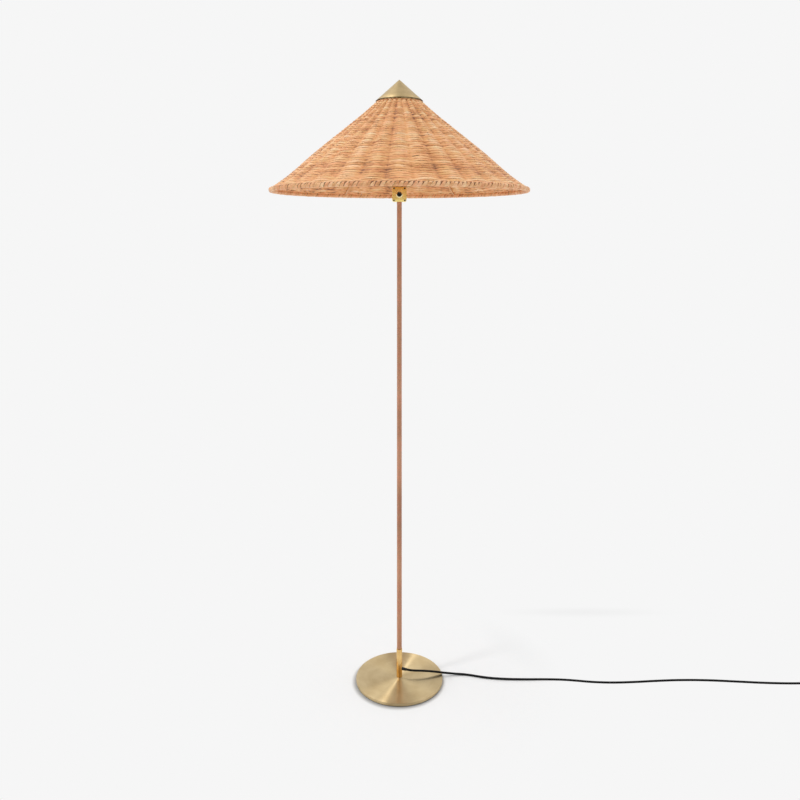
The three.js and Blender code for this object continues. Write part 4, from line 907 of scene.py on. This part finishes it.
weave = {
    "stakes": 32, "perStake": 8, "pitch": 4.4, "ridge": (1.6, 1.3), "swing": 0.85, "sharp": 0.9,
    "halfWidth": 2.48, "crest": 0.7, "halfThick": 0.6, "wander": 0.15, "sharedWander": 0.5, "first": 6.2,
    "last": 1.6, "slackEvery": 110, "slackLength": (18, 60), "slack": 0.85, "ridgeWearAndShade": 0.15, "column": 0.028,
    "widthWander": 0.02, "tone": (1, 3, 0.11, 0.47), "stakeWidth": 1.9, "stakeThick": 0.7,
    "stakePoints": 14, "stakePast": 5, "stakeShort": 1.5, "stakeTone": (0.5, 0.15),
}
strandShape = [(1, 0), (0.62, 0.9), (-0.62, 0.9), (-1, 0), (-0.62, -0.9), (0.62, -0.9)]
strandSpeckle = np.array([0.09, 0.07, 0.07, 0.09, 0.17, 0.17])  # even skin, mottled pith inside
pithTone = np.array([0, 0, 0, 0, -0.04, -0.04])


def waves(angle, counts, size):  # slow random wandering round a row
    total = np.zeros_like(angle)
    for count in counts:
        total += draw.normal(0, size) * np.sin(count * angle + draw.random() * fullTurn)
    return total


def stepped(angle, low, high, spread, middle):  # tone of the few strands that make up a row
    cuts = np.sort(draw.random(draw.integers(low, high + 1)) * fullTurn)
    tones = draw.normal(middle, spread, len(cuts) + 1)
    tones[-1] = tones[0]
    return tones[np.searchsorted(cuts, angle)]


def slackPlaces(angle, radius):  # short lengths where a row is pulled thin and shows the dark under it
    total = np.zeros_like(angle)
    for _ in range(draw.poisson(fullTurn * radius / weave["slackEvery"])):
        middle = draw.random() * fullTurn
        length = draw.uniform(*weave["slackLength"]) / radius / 2
        apart = np.angle(np.exp(1j * (angle - middle)))
        total += np.exp(-(apart / length) ** 2)
    return np.minimum(total, 1)


def ridgeShape(angle):  # round crests over the stakes, sharp valleys between
    return 2 * np.abs(np.cos(weave["stakes"] / 2 * angle)) ** weave["sharp"] - 1


def ridgeHeight(run):
    low, high = weave["ridge"]
    return low + (high - low) * run / coneLength


def strandRings(run, depth, angle, width, thick):
    return np.stack([onCone(run + a * width, depth + b * thick, angle) for a, b in strandShape], axis=1)


def makeWeavers():
    angle = around(weave["stakes"] * weave["perStake"])
    runs = np.arange(weave["first"], coneLength - weave["last"], weave["pitch"])
    half = len(runs) // 2
    ridges, thick = ridgeShape(angle), weave["halfThick"]
    sharedWander = waves(angle, (2, 3, 5), weave["sharedWander"])
    columns = waves(angle, (7, 11, 15, 23), weave["column"])  # some columns paler than others
    for name, rows, nodes in (("weaversLow", range(half), ["shade_weave"]),
                              ("weaversHigh", range(half, len(runs)), [])):
        strands = []
        for row in rows:
            swing = np.cos(weave["stakes"] / 2 * angle + math.pi * row)
            run = runs[row] + sharedWander + waves(angle, (4, 9, 17, 31), weave["wander"])
            depth = ridgeHeight(runs[row]) * (ridges - 1) + weave["swing"] * (swing - 1) - thick
            thin = 1 - weave["slack"] * slackPlaces(angle, coneRadius(runs[row]))
            width = weave["halfWidth"] * (1 + weave["crest"] * np.abs(swing) ** 1.5 * thin)
            width = width * (1 + waves(angle, (7, 13, 29), weave["widthWander"]))
            # crests are drawn paler and valleys darker: partly wear on the crests, partly painted shading of
            # the ridges
            tone = stepped(angle, *weave["tone"]) + weave["ridgeWearAndShade"] * ridges + columns
            speckle = strandSpeckle * draw.normal(0, 1, (len(angle), len(strandShape)))
            strands.append((strandRings(run, depth, angle, width, thick), True,
                            tone[:, None] + pithTone + speckle))
        wear(loft(name, strands), "shade", "weaver", *nodes)
    print("weavers:", len(runs), "rows")


ends = {
    "count": 210, "length": (12, 40), "width": (0.8, 1.5), "lift": (0.4, 1.3), "thick": 0.35, "sunk": 0.5,
    "slant": 0.07, "taper": 0.6, "tone": (0.32, 0.16), "clear": (12, 8), "points": 10,
}


def makeEnds():  # tips of canes that have slipped out of the weave
    strands = []
    low, high = ends["clear"]
    while len(strands) < ends["count"]:
        start, middle = draw.uniform(low, coneLength - high), draw.random() * fullTurn
        radius = coneRadius(start)
        if draw.random() > radius / shade["bottomRadius"]:
            continue
        length, lift, width = (draw.uniform(*span) for span in take(ends, "length", "lift", "width"))
        share = np.linspace(0, 1, ends["points"])
        angle = middle + draw.choice((-1, 1)) * share * length / radius
        run = start + draw.normal(0, ends["slant"]) * length * share
        depth = ridgeHeight(start) * (ridgeShape(angle) - 1) - ends["sunk"] + lift * share ** 1.5
        rings = strandRings(run, depth, angle, width * (1 - ends["taper"] * share), ends["thick"])
        strands.append((rings, False, draw.normal(*ends["tone"])))
    wear(loft("caneEnds", strands), "shade", "weaver")


def makeStakes():
    strands = []
    runs = np.linspace(-weave["stakePast"], coneLength - weave["stakeShort"], weave["stakePoints"])
    middleDepth, thick = -weave["swing"] - weave["halfThick"], weave["stakeThick"]
    for middle in around(weave["stakes"]):
        sideways = np.array([-math.sin(middle), math.cos(middle), 0]) * weave["stakeWidth"]
        rings = [onCone(runs, middleDepth + b * thick, middle) + a * sideways for a, b in strandShape]
        strands.append((np.stack(rings, axis=1), False, draw.normal(*weave["stakeTone"])))
    wear(loft("stakes", strands), "shade", "stake")


twine = {
    "perTurn": 10, "sides": 6, "wide": 1.25, "flat": 0.8, "sway": 0.62, "tone": (2, 4, 0.08, 0.6),
    "lower": {"run": 2.2, "hand": 1, "depth": -2.2, "radius": 1.5, "thick": 1.45},
    "upper": {"run": coneLength - 5.0, "hand": -1, "depth": -1.3, "radius": 0.8, "thick": 0.9},
}


def makeTwine(name, size):  # a pair of canes twisted round every stake
    strands = []
    angle = around(weave["stakes"] * twine["perTurn"])
    wide, flat = size["thick"] * twine["wide"], size["thick"] * twine["flat"]
    for phase in (0, math.pi):
        twist = size["hand"] * weave["stakes"] * angle + phase
        run = size["run"] + size["radius"] * twine["sway"] * np.sin(twist)
        depth = size["depth"] + size["radius"] * np.cos(twist)
        rings = [onCone(run + wide * math.cos(t), depth + flat * math.sin(t), angle)
                 for t in around(twine["sides"])]
        strands.append((np.stack(rings, axis=1), True, stepped(angle, *twine["tone"])))
    wear(loft(name, strands), "shade", "weaver")


rim = {
    "across": 4.9, "up": 5.5, "core": 0.8, "thick": 0.95, "canes": 2, "turns": 103, "perTurn": 16,
    "width": 9.1, "slip": 0.3, "swell": 0.1, "pinch": 0.2, "pinchLength": 0.12, "pinchMost": 0.95,
    "widthWander": 0.02, "speckle": 0.09, "tone": (80, 100, 0.12, 0.6),
}


def makeRim():
    radius, height = shade["rimRadius"], shade["rimHeight"]
    across, up, core, turns = take(rim, "across", "up", "core", "turns")
    wear(hoop("rimCore", radius, height, across - core, up - core, 20, 180), "shade", "rimCore")
    strands = []
    angle = around(turns * rim["perTurn"])
    twist = angle * turns
    for k in range(rim["canes"]):
        slip = waves(angle, (31, 53, 71, 97), rim["slip"]) / radius
        fromPinch = twist / fullTurn - rim["pinch"] + 0.5
        most = rim["pinchMost"] * draw.random(turns + 1)[fromPinch.astype(int)]
        pinched = 1 - most * np.exp(-((fromPinch % 1 - 0.5) / rim["pinchLength"]) ** 2)
        width = rim["width"] * (1 + waves(angle, (37, 59, 83), rim["widthWander"])) * pinched
        tone = stepped(angle, *rim["tone"])
        swell = waves(angle, (43, 67, 101), rim["swell"])
        middle = angle + k / rim["canes"] / turns * fullTurn + slip
        rings = []
        for a, b in stripShape:
            proud = b * rim["thick"] / 2 + swell * (b > 0)
            rings.append(polar(radius + (across + proud) * np.cos(twist), middle + a * width / 2 / radius,
                               height + (up + proud) * np.sin(twist)))
        speckle = draw.normal(0, rim["speckle"], (len(angle), len(stripShape)))
        strands.append((np.stack(rings, axis=1), True, tone[:, None] + speckle))
    wear(loft("rimWrap", strands), "shade", "rim", "shade_border")


spider = {
    "hubBottom": 1434.6, "hub": [(3.3, 0), (11.7, 0), (12, 0.3), (12, 1.7), (11.7, 2), (3.3, 2)],
    "ringRadius": 49.98, "ringHeight": 1441.5, "ring": 2, "wire": 1.75, "arms": 3, "ribs": 6,
    "arm": [(10.2, 1), (20, 1.9), (40, 5.2)], "armTop": 6.9, "ribDepth": -6.6, "ribLow": 4, "ribHigh": 7,
    "ribPoints": 14, "ribStartShare": 0.35, "ribTop": (1.7, -1.54),
}


def makeShadeFrame():
    low, reach, height, thick = take(spider, "hubBottom", "ringRadius", "ringHeight", "ring")
    wear(smooth(turned("shadeHub", spider["hub"], 64, low)), "shade", "frameWire", "shade_spider")
    wear(hoop("shadeTopRing", reach, height, thick, thick, 14, 120), "shade", "frameWire")
    arm = smoothLine([(x, 0, low + z) for x, z in [*spider["arm"], (reach, spider["armTop"])]], 5)
    runs = np.linspace(spider["ribLow"], coneLength - spider["ribHigh"], spider["ribPoints"])
    rib = onCone(runs, spider["ribDepth"], 0)
    rimMiddle = Vector((shade["rimRadius"], 0, shade["rimHeight"]))
    start = rimMiddle.lerp(Vector(rib[0]), spider["ribStartShare"])
    x, z = spider["ribTop"]
    rib = [start, *rib, (reach + x, 0, height + z)]
    for name, line, count in (("shadeArm", arm, spider["arms"]), ("shadeRib", rib, spider["ribs"])):
        for i in range(count):
            wire = place(wirePiece(f"{name}{i + 1}", line, spider["wire"]), roll(i / count * fullTurn, "Z"))
            wear(wire, "shade", "frameWire", *([f"shade_rib_{i + 1}"] if line is rib else []))


cap = {
    "radius": 59.5, "rim": 1445.5, "height": 54.5, "sheet": 1.0, "tip": 2.2, "tipFlat": 1.21, "tipDrop": 0.9,
    "hollow": 1.2, "ringShares": (0.08, 0.25, 0.5, 0.75), "edge": (0.15, 0.1, 0.2), "bossBottom": 1436.9,
    "boss": 5, "bossBore": 3.3, "bossDepth": 14, "bossEase": 0.3, "bossTip": 0.6,
}


def makeCap():
    radius, low, tall, tip, flat = take(cap, "radius", "rim", "height", "tip", "tipFlat")
    slope, top = math.atan2(tall, radius), low + tall
    inward, down = cap["sheet"] / math.sin(slope), cap["sheet"] / math.cos(slope)
    ball = curved(0, top - cap["tipDrop"] - flat, tip, flat, 5, slope)
    along = [(radius * share, top - tall * share) for share in cap["ringShares"]]
    upper, lower, rise = cap["edge"]
    cone = turned("capCone", [
        (0, ball[0][1]), *ball[1:4], *along, (radius - upper, low + rise), (radius - lower, low),
        (radius - inward, low), *[(r, h - down) for r, h in reversed(along)],
        (0, top - cap["hollow"] - down)], 256)
    wear(smooth(cone, 40), "cap", "cap", "brass_cap")
    bottom, bore, out, depth, ease = take(cap, "bossBottom", "bossBore", "boss", "bossDepth", "bossEase")
    point = top - down - ease / math.cos(slope) - bottom
    boss = turned("capBoss", [
        (bore, 0), (out - ease, 0), (out, ease), (out, point - out * math.tan(slope)),
        (0, point - cap["bossTip"]), (0, depth), (bore, depth)], 48, bottom)
    wear(smooth(boss), "cap", "harp", "cap_boss")


makeWeavers()
makeEnds()
makeStakes()
makeTwine("lowerTwine", twine["lower"])
makeTwine("upperTwine", twine["upper"])
makeRim()
makeShadeFrame()
makeCap()
print("shade and cap made")


kept = {
    "iron": ["base_weight"],
    "zinc": ["base_nut", "base_nipple", "base_washer", "stem_pipe", "stem_nut", "holder_nut",
             "holder_nipple"],
    "cord": ["cord_tail"],
    "plastic": ["switch_body"],
    "contact": ["live_terminal", "switched_terminal", "centre_contact"],
    "brownWire": ["live_wire", "switched_wire"],
    "blueWire": ["neutral_wire"],
    "frameWire": ["shade_bottom_ring"],
}
for finish, names in kept.items():
    for name in names:
        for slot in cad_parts[name].material_slots:
            slot.material = finishes[finish][1]


studio = {
    "background": 0.922, "floorColour": (0.81, 0.82, 0.826), "floorSize": 60, "fadeMiddle": (0.06, 0, 0),
    "fadeFrom": 0.19, "fadeTo": 0.37, "traceMiddle": (0.54, 0.327, 0), "traceHalf": 0.3, "traceNarrow": 8,
    "traceShare": 0.95, "paintedShadowMiddle": (-0.002, -0.003, 0), "paintedShadowFrom": 0.106, "paintedShadowTo": 0.119,
    "paintedShadowShare": 0.55, "ambient": 0.79, "frontShare": 0.55, "frontFrom": -0.95, "frontTo": -0.2,
    "backShare": 1.25, "backFrom": 0.2, "backTo": 0.9, "lobeEdges": (34, 12),
    "lobes": [((-0.7, 0.05, 0.71), 1.2), ((0.7, 0.05, 0.71), 0.7)],
    "keyFrom": (-0.425, -0.217, 0.879), "keyAway": 3, "keyStrength": 0.52, "keyAngle": 5,
}


def makeFloor():
    clearSelection()
    bpy.ops.mesh.primitive_plane_add(size=studio["floorSize"], location=(0, 0, 0))
    floor = settle("studioFloor")
    material, tree = startMaterial("paleFloor")
    where = add(tree, "TexCoord", out="Object")
    plain, narrow = studio["background"], Vector((1, studio["traceNarrow"], 0))
    squeezed = add(tree, "VectorMath", {0: where, 1: narrow}, operation="MULTIPLY")
    fromFade, fromFoot, fromTrace = (
        add(tree, "VectorMath", {0: spot, 1: middle}, out="Value", operation="DISTANCE")
        for spot, middle in ((where, studio["fadeMiddle"]), (where, studio["paintedShadowMiddle"]),
                             (squeezed, Vector(studio["traceMiddle"]) * narrow)))
    fade = add(tree, "MapRange", {
        "Value": fromFade, "From Min": studio["fadeFrom"], "From Max": studio["fadeTo"]}, **eased)
    seen = add(tree, "LightPath", out="Is Camera Ray")
    share = add(tree, "Math", {0: fade, 1: seen}, operation="MULTIPLY")
    # the floor colour is darkened round the disc's foot as a painted shadow
    contact = add(tree, "MapRange", {
        "Value": fromFoot, "From Min": studio["paintedShadowFrom"], "From Max": studio["paintedShadowTo"],
        "To Min": studio["paintedShadowShare"], "To Max": 1.0}, **eased)  # dark where the disc meets the floor
    tint = add(tree, "VectorMath", {0: studio["floorColour"], "Scale": contact}, operation="SCALE")
    lit = add(tree, "BsdfDiffuse", {"Color": tint})
    trace = add(tree, "MapRange", {
        "Value": fromTrace, "From Max": studio["traceHalf"], "To Min": plain * studio["traceShare"],
        "To Max": plain}, **eased)  # a last faint trace of the shade's shadow
    clear = add(tree, "Emission", {"Color": (1, 1, 1, 1), "Strength": trace})
    add(tree, "OutputMaterial", {"Surface": add(tree, "MixShader", {0: share, 1: lit, 2: clear})})
    floor.data.materials.append(material)


# Soft light, dimmer from the camera's side, with a soft box up on the left and one on the right.
def makeWorld():
    world = bpy.data.worlds.new("studioWorld")
    bpy.context.scene.world = world
    world.use_nodes = True
    tree = world.node_tree
    tree.nodes.clear()
    direction = add(tree, "TexCoord", out="Generated")
    depth = add(tree, "SeparateXYZ", {"Vector": direction}, out="Y")
    plain, ambient = studio["background"], studio["ambient"]
    front = add(tree, "MapRange", {
        "Value": depth, "From Min": studio["frontFrom"], "From Max": studio["frontTo"],
        "To Min": studio["frontShare"], "To Max": 1.0}, **eased)
    back = add(tree, "MapRange", {
        "Value": depth, "From Min": studio["backFrom"], "From Max": studio["backTo"],
        "To Min": ambient, "To Max": ambient * studio["backShare"]}, **eased)
    power = add(tree, "Math", {0: front, 1: back}, operation="MULTIPLY")
    outer, inner = (math.cos(math.radians(edge)) for edge in studio["lobeEdges"])
    for source, strength in studio["lobes"]:
        near = add(tree, "VectorMath", {
            0: direction, 1: Vector(source).normalized()}, out="Value", operation="DOT_PRODUCT")
        lobe = add(tree, "MapRange", {
            "Value": near, "From Min": outer, "From Max": inner, "To Max": strength}, **eased)
        power = add(tree, "Math", {0: power, 1: lobe}, operation="ADD")
    lit = add(tree, "Background", {"Color": (1, 1, 1, 1), "Strength": power})
    behind = add(tree, "Background", {"Color": (plain, plain, plain, 1), "Strength": 1.0})
    seen = add(tree, "LightPath", out="Is Camera Ray")
    add(tree, "OutputWorld", {"Surface": add(tree, "MixShader", {0: seen, 1: lit, 2: behind})})


def makeKeyLamp():
    source = Vector(studio["keyFrom"])
    bpy.ops.object.light_add(type="SUN", location=studio["keyAway"] * source)
    sun = bpy.context.object
    sun.name = "keyLamp"
    sun.data.energy = studio["keyStrength"]
    sun.data.angle = math.radians(studio["keyAngle"])
    sun.rotation_euler = source.to_track_quat("Z", "Y").to_euler()


makeFloor()
makeWorld()
makeKeyLamp()
bpy.context.scene.view_settings.view_transform = "Standard"
print("studio lit")
